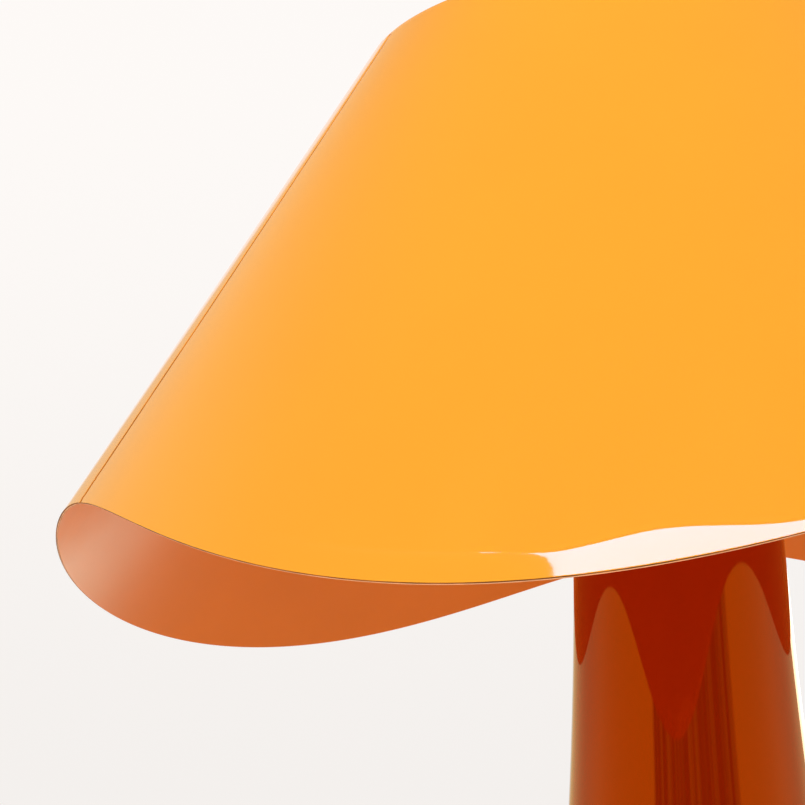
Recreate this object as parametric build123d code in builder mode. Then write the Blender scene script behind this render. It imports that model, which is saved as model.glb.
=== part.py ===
from build123d import *
import os
from math import asin, atan2, cos, degrees, radians, sin, sqrt, tan

# Mushroom floor lamp, in millimetres. +Z is up, and the origin is on the floor at the
# centre of the foot. A flared sheet-metal stem carries a lampholder and a cage of three
# rods, and a wide cone shade with a wavy hem rests on the cage and lifts off.

os.makedirs("parts", exist_ok=True)

# ---------------------------------------------------------------- driving dimensions
# Shade: a rolled cone skin under a flat lid
hem_height = 853.0  # mean height of the wavy hem above the floor
hem_radius = 299.0  # mean radius of the hem
shade_rise = 235.2  # from the mean hem up to the lid's top face
shoulder_radius = 137.6  # where the cone's side and the lid's top would meet
shoulder_round = 2.0  # outer radius of the lid's rolled edge
shoulder_drop = 1.8  # height of the lid's rolled lip
shade_wall = 1.2
# The hem's waves: how far a crest hangs down, how far it flares out, and its bearing
main_waves = 3
main_wave_drop = 24.9
main_wave_flare = 22.4
main_wave_bearing = 25.6
oval_waves = 2
oval_wave_drop = 11.3
oval_wave_flare = -4.2
oval_wave_bearing = 73.9
ripple_waves = 4
ripple_wave_drop = 5.3
ripple_wave_flare = 3.1
ripple_wave_bearing = 48.6
tilt_waves = 1
tilt_wave_drop = 9.2
tilt_wave_flare = 1.4
tilt_wave_bearing = 228.9
flutter_waves = 5
flutter_wave_drop = 2.9
flutter_wave_flare = 0.4
flutter_wave_bearing = 48.1
hem_steps = 72  # points on the hem's curve

# Stem: near upright at its top, sweeping out to a straight cone
stem_rise = 27.0  # from the mean hem up to the stem's top
stem_top_radius = 47.7
stem_top_lean = 1.19  # degrees from upright
stem_foot_lean = 5.7
stem_sweep_radius = 2270.0
stem_wall = 1.5
shadow_gap = 2.5  # from the floor to the stem's lower edge

# Foot
foot_ring_height = 3.0
foot_ring_inset = 28.4  # from the base plate's rim to the middle of the rubber ring
foot_ring_width = 16.0
base_plate_thickness = 4.0
weight_gap = 8.0  # between the weight and the flange round it
weight_thickness = 26.0
weight_edge = 3.0
foot_flange_thickness = 4.0
foot_flange_width = 14.0
base_screw_count = 6
base_screw_radius = 2.5
base_screw_inset = 8.0  # from the plate's rim to the screws' centres
base_screw_depth = 5.0  # past the plate
weight_screw_count = 3
weight_screw_radius = 3.0
weight_screw_circle_radius = 60.0
weight_screw_depth = 12.0

# Cable inlet, at the rear just above the weight
inlet_height = 52.0
inlet_bore_radius = 3.75
inlet_barrel_radius = 6.0
inlet_flange_radius = 10.0
inlet_flange_thickness = 3.5
inlet_nut_radius = 9.0
inlet_nut_thickness = 3.5
inlet_nut_setback = 5.0  # from the barrel's inner end to the nut
inlet_barrel_reach = 11.0  # inwards from the stem's skin

# Stem top and threaded pipe
top_plate_thickness = 4.0
pipe_radius = 5.0
pipe_bore_radius = 3.6
pipe_washer_thickness = 1.0
pipe_washer_radius = 10.0
pipe_nut_thickness = 4.0
pipe_nut_across_flats = 14.0
pipe_tail = 3.0  # of the pipe, below its nut
earth_screw_radius = 2.0
earth_screw_circle_radius = 28.0

# Cage that carries the shade
cage_plate_thickness = 3.0
cage_rod_count = 3
cage_rod_radius = 3.5
cage_rod_inset = 5.7  # from the plates' rim to the rods' middle
cage_rod_bearing = 90.0
cage_screw_radius = 2.0
cage_screw_depth = 10.0
cage_screw_head_height = 2.4
post_radius = 12.0
post_length = 27.0
post_screw_radius = 2.5
post_screw_depth = 12.0
seat_washer_thickness = 2.0
seat_washer_radius = 31.0

# Boss under the lid, and the hand screw that locks the shade to the post
lid_thickness = 1.2
hub_radius = 18.0
hub_height = 30.0  # from its seat up to the lid
hub_seat_radius = 32.0
hub_seat_thickness = 4.0
hub_top_radius = 46.0
hub_top_thickness = 3.0
lock_screw_radius = 2.5
lock_screw_bearing = -90.0
lock_knob_radius = 8.0
lock_knob_thickness = 14.0
lock_knob_inner = 36.0  # from the lamp's axis to the knob's near face
lock_knob_flutes = 8
lock_knob_flute_radius = 1.8

# Lampholder for an E27 lamp
holder_radius = 20.0
holder_wall = 1.4
holder_neck_radius = 8.5
holder_neck_height = 7.0
holder_cap_height = 26.0
holder_cap_floor = 2.8
holder_sleeve_height = 30.0
holder_lip_radius = 16.0  # opening in the sleeve's turned-in top
switch_block_radius = 14.0
switch_block_height = 10.0
insert_floor = 7.0
insert_sink = 2.8  # how far the insert reaches down into the cap
insert_wall = 3.6
socket_radius = 13.3  # inside of the threaded shell
socket_wall = 0.5
socket_depth = 22.0
contact_thickness = 0.8
contact_rise = 2.4  # from the insert's floor to the lamp's tip
contact_width = 6.0
spindle_radius = 2.0
key_reach = 60.0  # from the lamp's axis to the key's far edge
key_length = 16.0
key_height = 13.0
key_thickness = 4.0
grub_screw_radius = 1.5

# E27 lamp
bulb_radius = 30.0
bulb_glass_wall = 1.0
bulb_cap_radius = 13.0
bulb_cap_height = 23.0
bulb_cap_wall = 0.6
bulb_thread_pitch = 3.6
bulb_thread_depth = 0.7
bulb_thread_turns = 4
bulb_neck_radius = 24.0
bulb_length = 104.0
bulb_contact_radius = 4.8
bulb_contact_height = 1.2
bulb_insulator_height = 3.0
bulb_collar_height = 1.5
led_board_radius = 20.0
led_board_thickness = 1.6
led_count = 9
led_circle_radius = 14.0
led_size = 3.0
led_height = 0.8

# Small edges and shares that several pieces use
soft_edge = 0.75  # rounding of plates and of the rubber ring
post_edge = 1.0  # bevel at the post's top
screw_head_share = 2.0  # a screw head's radius over its shank's
button_head_share = 1.4  # the same at the top face of a button head
socket_share = 0.6  # size and depth of a screw's socket over its shank's radius

# Clearances
weld_gap = 0.1  # between pieces that are welded or pressed together
slip_gap = 0.3  # between pieces that only lie side by side
running_gap = 0.05  # radial, of a shaft in its bore
thread_gap = 0.1  # radial, of a screw in its hole

# ---------------------------------------------------------------- derived levels
BASE = (Align.CENTER, Align.CENTER, Align.MIN)

base_plate_bottom = foot_ring_height
base_plate_top = base_plate_bottom + base_plate_thickness
stem_height = hem_height + stem_rise
top_plate_bottom = stem_height - top_plate_thickness
cage_base_top = stem_height + cage_plate_thickness
shade_top = hem_height + shade_rise
lid_bottom = shade_top - lid_thickness
hub_bottom = lid_bottom - hub_height
cage_top = hub_bottom - seat_washer_thickness
cage_top_bottom = cage_top - cage_plate_thickness
cage_rod_length = cage_top_bottom - cage_base_top
lock_screw_height = (hub_bottom + hub_seat_thickness + lid_bottom - hub_top_thickness) / 2
holder_bottom = cage_base_top
cap_top = holder_bottom + holder_cap_height
sleeve_top = cap_top + holder_sleeve_height
insert_bottom = cap_top - insert_sink
insert_floor_top = insert_bottom + insert_floor
contact_top = insert_floor_top + contact_rise
bulb_bottom = contact_top
bulb_cap_bottom = bulb_bottom + bulb_contact_height + bulb_insulator_height
bulb_cap_top = bulb_cap_bottom + bulb_cap_height
bulb_centre = bulb_bottom + bulb_length - bulb_radius
bulb_neck_top = bulb_centre - sqrt(bulb_radius**2 - bulb_neck_radius**2)
switch_block_bottom = holder_bottom + holder_neck_height + holder_cap_floor
spindle_height = switch_block_bottom + switch_block_height / 2
pipe_bottom = top_plate_bottom - pipe_washer_thickness - pipe_nut_thickness - pipe_tail
pipe_length = switch_block_bottom - slip_gap - pipe_bottom
cage_plate_radius = stem_top_radius
cage_rod_circle_radius = cage_plate_radius - cage_rod_inset

hem_waves = (
    (main_waves, main_wave_drop, main_wave_flare, main_wave_bearing),
    (oval_waves, oval_wave_drop, oval_wave_flare, oval_wave_bearing),
    (ripple_waves, ripple_wave_drop, ripple_wave_flare, ripple_wave_bearing),
    (tilt_waves, tilt_wave_drop, tilt_wave_flare, tilt_wave_bearing),
    (flutter_waves, flutter_wave_drop, flutter_wave_flare, flutter_wave_bearing),
)
side_lean = atan2(hem_radius - shoulder_radius, shade_rise)  # the cone's side from upright
wall_in = shade_wall * cos(side_lean)  # across the skin: inwards
wall_down = shade_wall * sin(side_lean)  # and downwards
lip_radius = shoulder_radius + shoulder_drop * tan(side_lean)
lip_height = shade_top - shoulder_drop


# ---------------------------------------------------------------- shared shapes
def hem_outline(bearing, inset=0.0):
    """A point of the wavy hem's outer edge, or of its inner edge with inset 1."""
    radius, height = hem_radius, hem_height
    for count, drop, flare, crest in hem_waves:
        wave = cos(radians(count * (bearing - crest)))
        radius += flare * wave
        height -= drop * wave
    return ring_point(bearing, radius - inset * wall_in, height - inset * wall_down)


def lip_outline(bearing, inset=0.0):
    """A point of the skin's round upper edge, or of its inner edge with inset 1."""
    radius = lip_radius + weld_gap * sin(side_lean) - inset * wall_in
    height = lip_height - weld_gap * cos(side_lean) - inset * wall_down
    return ring_point(bearing, radius, height)


def ring_point(bearing, radius, height):
    """A point on a circle round the lamp's axis."""
    return Vector(radius * cos(radians(bearing)), radius * sin(radians(bearing)), height)


def closed_curve(outline, inset):
    """A closed smooth curve through an outline's points, even in bearing."""
    points = [outline(360.0 * step / hem_steps, inset) for step in range(hem_steps)]
    places = [step / hem_steps for step in range(hem_steps + 1)]
    return Edge.make_spline(points, periodic=True, parameters=places)


def stem_radius(height, inset=0.0):
    """The stem's outer radius at a height, less a skin of thickness inset."""
    sweep_start, sweep_end = radians(stem_top_lean), radians(stem_foot_lean)
    lean = asin(min(sin(sweep_start) + (stem_height - height) / stem_sweep_radius, sin(sweep_end)))
    radius = stem_top_radius + stem_sweep_radius * (cos(sweep_start) - cos(lean))
    swept = stem_sweep_radius * (sin(lean) - sin(sweep_start))
    return radius + (stem_height - height - swept) * tan(lean) - inset / cos(lean)


def stem_section(inset=0.0, mode=Mode.ADD):
    """The area from the axis to the stem's outline moved in, running past both its ends."""
    top_lean, foot_lean = radians(stem_top_lean), radians(stem_foot_lean)
    start = Vector(stem_top_radius - inset * cos(top_lean), stem_height - inset * sin(top_lean))
    top = start + Vector(-sin(top_lean), cos(top_lean)) * (shadow_gap + inset)
    heading = (sin(top_lean), -cos(top_lean))
    with BuildLine() as outline:
        Line(top, start)
        sweep = JernArc(start, heading, stem_sweep_radius + inset, stem_foot_lean - stem_top_lean)
        sweep_end = sweep @ 1
        foot = Vector(sweep_end.X + sweep_end.Y * tan(foot_lean), 0)
        Line(sweep_end, foot)
        Polyline(foot, (0, 0), (0, top.Y), top)
    make_face(outline.edges(), mode=mode)


def keep_band(low, high):
    """Cut the sketch down to what lies between two heights."""
    with Locations((0, low)):
        Rectangle(2 * hem_radius, high - low, align=(Align.CENTER, Align.MIN), mode=Mode.INTERSECT)


def countersunk_screw(radius, length):
    """A flat-headed screw at the current locations, its head's face down at their origins."""
    socket = radius * socket_share
    Cone(screw_head_share * radius, radius, radius, align=BASE)
    Cylinder(radius, length, align=BASE)
    Cylinder(socket, socket, align=BASE, mode=Mode.SUBTRACT)


def countersunk_hole(radius, depth):
    """The hole for such a screw, with the thread's clearance."""
    wide = radius + thread_gap
    Cone(screw_head_share * wide, wide, wide, align=BASE, mode=Mode.SUBTRACT)
    Cylinder(wide, depth, align=BASE, mode=Mode.SUBTRACT)


# ---------------------------------------------------------------- foot
base_rim_radius = stem_radius(base_plate_bottom, stem_wall)
base_screw_circle_radius = base_rim_radius - base_screw_inset
foot_ring_radius = base_rim_radius - foot_ring_inset
flange_bore = stem_radius(base_plate_top, stem_wall + weld_gap) - foot_flange_width
weight_radius = flange_bore - weight_gap

with BuildPart() as foot_ring:
    with BuildSketch():
        Circle(foot_ring_radius + foot_ring_width / 2)
        Circle(foot_ring_radius - foot_ring_width / 2, mode=Mode.SUBTRACT)
    extrude(amount=foot_ring_height)
    fillet(foot_ring.edges().group_by(Axis.Z)[0], radius=soft_edge)
foot_ring.part.label = "foot_ring"

with BuildPart() as base_plate:
    with BuildSketch(Plane.XZ):
        stem_section(stem_wall + slip_gap)
        keep_band(base_plate_bottom, base_plate_top)
    revolve(axis=Axis.Z)
    with Locations((0, 0, base_plate_bottom)):
        with PolarLocations(base_screw_circle_radius, base_screw_count):
            countersunk_hole(base_screw_radius, base_plate_thickness)
        with PolarLocations(weight_screw_circle_radius, weight_screw_count):
            countersunk_hole(weight_screw_radius, base_plate_thickness)
base_plate.part.label = "base_plate"

with BuildPart() as foot_flange:
    with BuildSketch(Plane.XZ):
        stem_section(stem_wall + weld_gap)
        keep_band(base_plate_top, base_plate_top + foot_flange_thickness)
    revolve(axis=Axis.Z)
    with Locations((0, 0, base_plate_top)):
        Cylinder(flange_bore, foot_flange_thickness, align=BASE, mode=Mode.SUBTRACT)
        with PolarLocations(base_screw_circle_radius, base_screw_count):
            Cylinder(
                base_screw_radius + thread_gap,
                foot_flange_thickness,
                align=BASE,
                mode=Mode.SUBTRACT,
            )
foot_flange.part.label = "foot_flange"

with BuildPart() as base_weight:
    with Locations((0, 0, base_plate_top)):
        Cylinder(weight_radius, weight_thickness, align=BASE)
        with PolarLocations(weight_screw_circle_radius, weight_screw_count):
            Cylinder(
                weight_screw_radius + thread_gap,
                weight_screw_depth,
                align=BASE,
                mode=Mode.SUBTRACT,
            )
    chamfer(base_weight.edges().group_by(Axis.Z)[-1], length=weight_edge)
base_weight.part.label = "base_weight"

with BuildPart() as base_plate_screws:
    with Locations((0, 0, base_plate_bottom)):
        with PolarLocations(base_screw_circle_radius, base_screw_count):
            countersunk_screw(base_screw_radius, base_plate_thickness + base_screw_depth)
base_plate_screws.part.label = "base_plate_screws"

with BuildPart() as weight_screws:
    with Locations((0, 0, base_plate_bottom)):
        with PolarLocations(weight_screw_circle_radius, weight_screw_count):
            weight_screw_length = base_plate_thickness + weight_screw_depth - slip_gap
            countersunk_screw(weight_screw_radius, weight_screw_length)
weight_screws.part.label = "weight_screws"

# ---------------------------------------------------------------- stem
inlet_skin = stem_radius(inlet_height)  # the stem's outer radius behind the cable inlet

with BuildPart() as stem_body:
    with BuildSketch(Plane.XZ):
        stem_section()
        stem_section(stem_wall, mode=Mode.SUBTRACT)
        keep_band(shadow_gap, stem_height)
    revolve(axis=Axis.Z)
    with Locations(Plane.XZ.offset(-inlet_skin - inlet_flange_radius).location):
        with Locations((0, inlet_height)):
            Cylinder(
                inlet_barrel_radius + slip_gap,
                2 * inlet_flange_radius,
                align=BASE,
                mode=Mode.SUBTRACT,
            )
stem_body.part.label = "stem_body"

with BuildPart() as stem_top_plate:
    with BuildSketch(Plane.XZ):
        stem_section(stem_wall + weld_gap)
        keep_band(top_plate_bottom, stem_height)
    revolve(axis=Axis.Z)
    with Locations((0, 0, top_plate_bottom)):
        Cylinder(pipe_radius + thread_gap, top_plate_thickness, align=BASE, mode=Mode.SUBTRACT)
        with PolarLocations(earth_screw_circle_radius, 1):
            Cylinder(
                earth_screw_radius + thread_gap,
                top_plate_thickness / 2,
                align=BASE,
                mode=Mode.SUBTRACT,
            )
stem_top_plate.part.label = "stem_top_plate"

with BuildPart() as earth_screw:
    with Locations((earth_screw_circle_radius, 0, top_plate_bottom)):
        Cylinder(earth_screw_radius, top_plate_thickness / 2 - thread_gap, align=BASE)
    with BuildSketch(Plane.XY.offset(top_plate_bottom)):
        with Locations((earth_screw_circle_radius, 0)):
            RegularPolygon(screw_head_share * earth_screw_radius, 6)
    extrude(amount=-earth_screw_radius)
earth_screw.part.label = "earth_screw"


def stem_solid_region():
    """Everything inside the stem's outer skin, as a cutter for what seats on it."""
    with BuildPart(mode=Mode.PRIVATE) as region:
        with BuildSketch(Plane.XZ):
            stem_section(-weld_gap)
        revolve(axis=Axis.Z)
    return region.part


inlet_plane = Plane(
    origin=(0, inlet_skin - inlet_barrel_reach, inlet_height),
    x_dir=(1, 0, 0),
    z_dir=(0, 1, 0),
)
inlet_outer = inlet_barrel_reach + inlet_flange_thickness

with BuildPart() as cable_inlet:
    with BuildSketch(inlet_plane.offset(inlet_barrel_reach - stem_wall)):
        Circle(inlet_flange_radius)
    extrude(amount=inlet_flange_thickness + stem_wall)
    fillet(cable_inlet.edges().group_by(Axis.Y)[-1], radius=soft_edge)
    add(stem_solid_region(), mode=Mode.SUBTRACT)
    with BuildSketch(inlet_plane):
        Circle(inlet_barrel_radius)
    extrude(amount=inlet_outer - inlet_flange_thickness / 2)
    with BuildSketch(inlet_plane):
        Circle(inlet_bore_radius)
    extrude(amount=inlet_outer, mode=Mode.SUBTRACT)
cable_inlet.part.label = "cable_inlet"

with BuildPart() as cable_inlet_nut:
    with BuildSketch(inlet_plane.offset(inlet_nut_setback)):
        RegularPolygon(inlet_nut_radius, 6)
        Circle(inlet_barrel_radius + thread_gap, mode=Mode.SUBTRACT)
    extrude(amount=inlet_nut_thickness)
cable_inlet_nut.part.label = "cable_inlet_nut"

# ---------------------------------------------------------------- threaded pipe
with BuildPart() as threaded_pipe:
    with Locations((0, 0, pipe_bottom)):
        Cylinder(pipe_radius, pipe_length, align=BASE)
        Cylinder(pipe_bore_radius, pipe_length, align=BASE, mode=Mode.SUBTRACT)
threaded_pipe.part.label = "threaded_pipe"

with BuildPart() as pipe_washer:
    with Locations((0, 0, top_plate_bottom - pipe_washer_thickness)):
        Cylinder(pipe_washer_radius, pipe_washer_thickness, align=BASE)
        Cylinder(pipe_radius + thread_gap, pipe_washer_thickness, align=BASE, mode=Mode.SUBTRACT)
pipe_washer.part.label = "pipe_washer"

with BuildPart() as pipe_nut:
    with BuildSketch(Plane.XY.offset(top_plate_bottom - pipe_washer_thickness)):
        RegularPolygon(pipe_nut_across_flats / 2, 6, major_radius=False)
        Circle(pipe_radius + thread_gap, mode=Mode.SUBTRACT)
    extrude(amount=-pipe_nut_thickness)
pipe_nut.part.label = "pipe_nut"

# ---------------------------------------------------------------- cage
with BuildPart() as cage_base_plate:
    with Locations((0, 0, stem_height)):
        Cylinder(cage_plate_radius, cage_plate_thickness, align=BASE)
        Cylinder(pipe_radius + thread_gap, cage_plate_thickness, align=BASE, mode=Mode.SUBTRACT)
        with PolarLocations(cage_rod_circle_radius, cage_rod_count, start_angle=cage_rod_bearing):
            countersunk_hole(cage_screw_radius, cage_plate_thickness)
    fillet(cage_base_plate.edges().group_by(Axis.Z)[-1].sort_by(SortBy.RADIUS)[-1], radius=soft_edge)
cage_base_plate.part.label = "cage_base_plate"

cage_rods = []
for number in range(cage_rod_count):
    bearing = cage_rod_bearing + 360.0 * number / cage_rod_count
    with BuildPart() as cage_rod:
        with Locations(ring_point(bearing, cage_rod_circle_radius, cage_base_top)):
            Cylinder(cage_rod_radius, cage_rod_length, align=BASE)
            Cylinder(cage_screw_radius + thread_gap, cage_screw_depth, align=BASE, mode=Mode.SUBTRACT)
        with Locations(ring_point(bearing, cage_rod_circle_radius, cage_top_bottom - cage_screw_depth)):
            Cylinder(cage_screw_radius + thread_gap, cage_screw_depth, align=BASE, mode=Mode.SUBTRACT)
    cage_rod.part.label = f"cage_rod_{number + 1}"
    cage_rods.append(cage_rod)

with BuildPart() as cage_lower_screws:
    with Locations((0, 0, stem_height)):
        with PolarLocations(cage_rod_circle_radius, cage_rod_count, start_angle=cage_rod_bearing):
            countersunk_screw(cage_screw_radius, cage_plate_thickness + cage_screw_depth - slip_gap)
cage_lower_screws.part.label = "cage_lower_screws"

with BuildPart() as cage_top_plate:
    with Locations((0, 0, cage_top_bottom)):
        Cylinder(cage_plate_radius, cage_plate_thickness, align=BASE)
        countersunk_hole(post_screw_radius, cage_plate_thickness)
        with PolarLocations(cage_rod_circle_radius, cage_rod_count, start_angle=cage_rod_bearing):
            Cylinder(cage_screw_radius + thread_gap, cage_plate_thickness, align=BASE, mode=Mode.SUBTRACT)
    fillet(cage_top_plate.edges().group_by(Axis.Z)[-1].sort_by(SortBy.RADIUS)[-1], radius=soft_edge)
cage_top_plate.part.label = "cage_top_plate"

with BuildPart() as cage_upper_screws:
    shank_length = cage_plate_thickness + cage_screw_depth - slip_gap
    with Locations((0, 0, cage_top - shank_length)):
        with PolarLocations(cage_rod_circle_radius, cage_rod_count, start_angle=cage_rod_bearing):
            Cylinder(cage_screw_radius, shank_length, align=BASE)
    with Locations((0, 0, cage_top)):
        with PolarLocations(cage_rod_circle_radius, cage_rod_count, start_angle=cage_rod_bearing):
            Cone(
                screw_head_share * cage_screw_radius,
                button_head_share * cage_screw_radius,
                cage_screw_head_height,
                align=BASE,
            )
    with BuildSketch(Plane.XY.offset(cage_top + cage_screw_head_height)):
        with PolarLocations(cage_rod_circle_radius, cage_rod_count, start_angle=cage_rod_bearing):
            RegularPolygon(cage_screw_radius * socket_share, 6)
    extrude(amount=-cage_screw_radius * socket_share, mode=Mode.SUBTRACT)
cage_upper_screws.part.label = "cage_upper_screws"

with BuildPart() as cage_post:
    with Locations((0, 0, cage_top)):
        Cylinder(post_radius, post_length, align=BASE)
        Cylinder(post_screw_radius + thread_gap, post_screw_depth, align=BASE, mode=Mode.SUBTRACT)
    chamfer(cage_post.edges().group_by(Axis.Z)[-1], length=post_edge)
cage_post.part.label = "cage_post"

with BuildPart() as cage_post_screw:
    with Locations((0, 0, cage_top_bottom)):
        countersunk_screw(post_screw_radius, cage_plate_thickness + post_screw_depth - slip_gap)
cage_post_screw.part.label = "cage_post_screw"

with BuildPart() as seat_washer:
    with Locations((0, 0, cage_top)):
        Cylinder(seat_washer_radius, seat_washer_thickness, align=BASE)
        Cylinder(post_radius + running_gap, seat_washer_thickness, align=BASE, mode=Mode.SUBTRACT)
seat_washer.part.label = "seat_washer"

# ---------------------------------------------------------------- shade
lock_plane = Plane(
    origin=(0, 0, lock_screw_height),
    x_dir=(0, 0, 1),
    z_dir=(cos(radians(lock_screw_bearing)), sin(radians(lock_screw_bearing)), 0),
)

with BuildPart() as shade_hub:
    with BuildSketch(Plane.XZ):
        with BuildLine():
            Polyline(
                (post_radius + running_gap, hub_bottom),
                (hub_seat_radius, hub_bottom),
                (hub_seat_radius, hub_bottom + hub_seat_thickness),
                (hub_radius, hub_bottom + hub_seat_thickness),
                (hub_radius, lid_bottom - hub_top_thickness),
                (hub_top_radius, lid_bottom - hub_top_thickness),
                (hub_top_radius, lid_bottom),
                (post_radius + running_gap, lid_bottom),
                close=True,
            )
        make_face()
    revolve(axis=Axis.Z)
    with BuildSketch(lock_plane):
        Circle(lock_screw_radius + running_gap)
    extrude(amount=hub_radius + slip_gap, mode=Mode.SUBTRACT)
shade_hub.part.label = "shade_hub"

with BuildPart() as shade_lid:
    lid_in = lid_thickness * cos(side_lean)
    lid_down = lid_thickness * sin(side_lean)
    turn = 90 - degrees(side_lean)
    flat_radius = shoulder_radius - shoulder_round * tan(radians(turn / 2))
    with BuildSketch(Plane.XZ):
        with BuildLine():
            top = Line((0, shade_top), (flat_radius, shade_top))
            outer_bend = JernArc(top @ 1, (1, 0), shoulder_round, -turn)
            outer_lip = Line(outer_bend @ 1, (lip_radius, lip_height))
            bottom = Line((0, lid_bottom), (flat_radius, lid_bottom))
            inner_bend = JernArc(bottom @ 1, (1, 0), shoulder_round - lid_thickness, -turn)
            Polyline(outer_lip @ 1, (lip_radius - lid_in, lip_height - lid_down), inner_bend @ 1)
            Line(bottom @ 0, top @ 0)
        make_face()
    revolve(axis=Axis.Z)
shade_lid.part.label = "shade_lid"

# The skin's four faces are ruled between its edges: outside, inside, top edge and hem
lip_outer, lip_inner = closed_curve(lip_outline, 0), closed_curve(lip_outline, 1)
hem_outer, hem_inner = closed_curve(hem_outline, 0), closed_curve(hem_outline, 1)
skin_edges = (
    (lip_outer, hem_outer),
    (lip_inner, hem_inner),
    (hem_outer, hem_inner),
    (lip_outer, lip_inner),
)
skin_faces = [Face.make_surface_from_curves(first, second) for first, second in skin_edges]

with BuildPart() as shade_skin:
    add(Solid(Shell(skin_faces)))
shade_skin.part.label = "shade_skin"

with BuildPart() as lock_screw:
    with BuildSketch(lock_plane.offset(post_radius + slip_gap)):
        Circle(lock_screw_radius)
    extrude(amount=lock_knob_inner - post_radius)
lock_screw.part.label = "lock_screw"

with BuildPart() as lock_knob:
    with BuildSketch(lock_plane.offset(lock_knob_inner)):
        Circle(lock_knob_radius)
        with PolarLocations(lock_knob_radius, lock_knob_flutes):
            Circle(lock_knob_flute_radius, mode=Mode.SUBTRACT)
    extrude(amount=lock_knob_thickness)
    with BuildSketch(lock_plane.offset(lock_knob_inner)):
        Circle(lock_screw_radius + weld_gap)
    extrude(amount=slip_gap + weld_gap, mode=Mode.SUBTRACT)
lock_knob.part.label = "lock_knob"

# ---------------------------------------------------------------- lampholder
key_plane = Plane(origin=(0, 0, spindle_height), x_dir=(1, 0, 0), z_dir=(0, -1, 0))

with BuildPart() as holder_cap:
    with BuildSketch(Plane.XZ):
        with BuildLine():
            Polyline(
                (pipe_radius + thread_gap, holder_bottom),
                (holder_neck_radius, holder_bottom),
                (holder_neck_radius, holder_bottom + holder_neck_height),
                (holder_radius, holder_bottom + holder_neck_height),
                (holder_radius, cap_top),
                (holder_radius - holder_wall, cap_top),
                (holder_radius - holder_wall, switch_block_bottom),
                (pipe_radius + thread_gap, switch_block_bottom),
                close=True,
            )
        make_face()
    revolve(axis=Axis.Z)
    cap_edges = holder_cap.edges().filter_by(GeomType.CIRCLE).group_by(Axis.Z)
    fillet(cap_edges[1].sort_by(SortBy.RADIUS)[-1], radius=holder_cap_floor)
    with BuildSketch(key_plane):
        Circle(spindle_radius + running_gap)
    extrude(amount=holder_radius + slip_gap, mode=Mode.SUBTRACT)
    with BuildSketch(Plane.YZ):
        with Locations((0, holder_bottom + holder_neck_height / 2)):
            Circle(grub_screw_radius + thread_gap)
    extrude(amount=holder_radius, mode=Mode.SUBTRACT)
holder_cap.part.label = "holder_cap"

with BuildPart() as holder_grub_screw:
    with BuildSketch(Plane.YZ.offset(pipe_radius + thread_gap)):
        with Locations((0, holder_bottom + holder_neck_height / 2)):
            Circle(grub_screw_radius)
    extrude(amount=holder_neck_radius + grub_screw_radius - pipe_radius)
holder_grub_screw.part.label = "holder_grub_screw"

with BuildPart() as holder_sleeve:
    with BuildSketch(Plane.XZ):
        with BuildLine():
            Polyline(
                (holder_radius - holder_wall, cap_top),
                (holder_radius, cap_top),
                (holder_radius, sleeve_top),
                (holder_lip_radius, sleeve_top),
                (holder_lip_radius, sleeve_top - holder_wall),
                (holder_radius - holder_wall, sleeve_top - holder_wall),
                close=True,
            )
        make_face()
    revolve(axis=Axis.Z)
    rim = holder_sleeve.edges().group_by(Axis.Z)[-1].sort_by(SortBy.RADIUS)[-1]
    fillet(rim, radius=holder_wall)
holder_sleeve.part.label = "holder_sleeve"

insert_radius = holder_radius - holder_wall - slip_gap
insert_top = sleeve_top - holder_wall - slip_gap

with BuildPart() as holder_insert:
    with Locations((0, 0, insert_bottom)):
        Cylinder(insert_radius, insert_top - insert_bottom, align=BASE)
    with Locations((0, 0, insert_floor_top)):
        Cylinder(
            insert_radius - insert_wall,
            insert_top - insert_floor_top,
            align=BASE,
            mode=Mode.SUBTRACT,
        )
holder_insert.part.label = "holder_insert"

with BuildPart() as holder_screw_shell:
    with Locations((0, 0, insert_floor_top + contact_thickness)):
        Cylinder(socket_radius + socket_wall, socket_depth, align=BASE)
        Cylinder(socket_radius, socket_depth, align=BASE, mode=Mode.SUBTRACT)
holder_screw_shell.part.label = "holder_screw_shell"

with BuildPart() as holder_centre_contact:
    with BuildSketch(Plane.XZ):
        with BuildLine():
            Polyline(
                (-insert_radius / 2, insert_floor_top),
                (bulb_contact_radius, insert_floor_top),
                (bulb_contact_radius, insert_floor_top + contact_thickness),
                (-insert_radius / 4, insert_floor_top + contact_thickness),
                (bulb_contact_radius, contact_top - contact_thickness - running_gap),
                (bulb_contact_radius, contact_top - running_gap),
                (0, contact_top - running_gap),
                (-insert_radius / 2, insert_floor_top + contact_thickness),
                close=True,
            )
        make_face()
    extrude(amount=contact_width / 2, both=True)
holder_centre_contact.part.label = "holder_centre_contact"

with BuildPart() as switch_block:
    with Locations((0, 0, switch_block_bottom + running_gap)):
        Cylinder(switch_block_radius, switch_block_height, align=BASE)
    with BuildSketch(key_plane):
        Circle(spindle_radius + running_gap)
    extrude(amount=switch_block_radius + slip_gap, mode=Mode.SUBTRACT)
switch_block.part.label = "switch_block"

key_inner = key_reach - key_length

with BuildPart() as switch_spindle:
    with BuildSketch(key_plane.offset(slip_gap)):
        Circle(spindle_radius)
    extrude(amount=key_inner + key_length / 2 - slip_gap)
switch_spindle.part.label = "switch_spindle"

with BuildPart() as switch_key:
    with BuildSketch(key_plane.offset(key_inner)):
        Circle(spindle_radius + key_thickness / 2)
    extrude(amount=key_length / 2)
    with BuildSketch(key_plane.offset(key_inner + key_length / 4)):
        RectangleRounded(key_thickness, key_height, radius=key_thickness / 3)
    extrude(amount=key_length * 3 / 4)
    with BuildSketch(key_plane.offset(key_inner)):
        Circle(spindle_radius + weld_gap)
    extrude(amount=key_length / 2 + weld_gap, mode=Mode.SUBTRACT)
switch_key.part.label = "switch_key"

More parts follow.
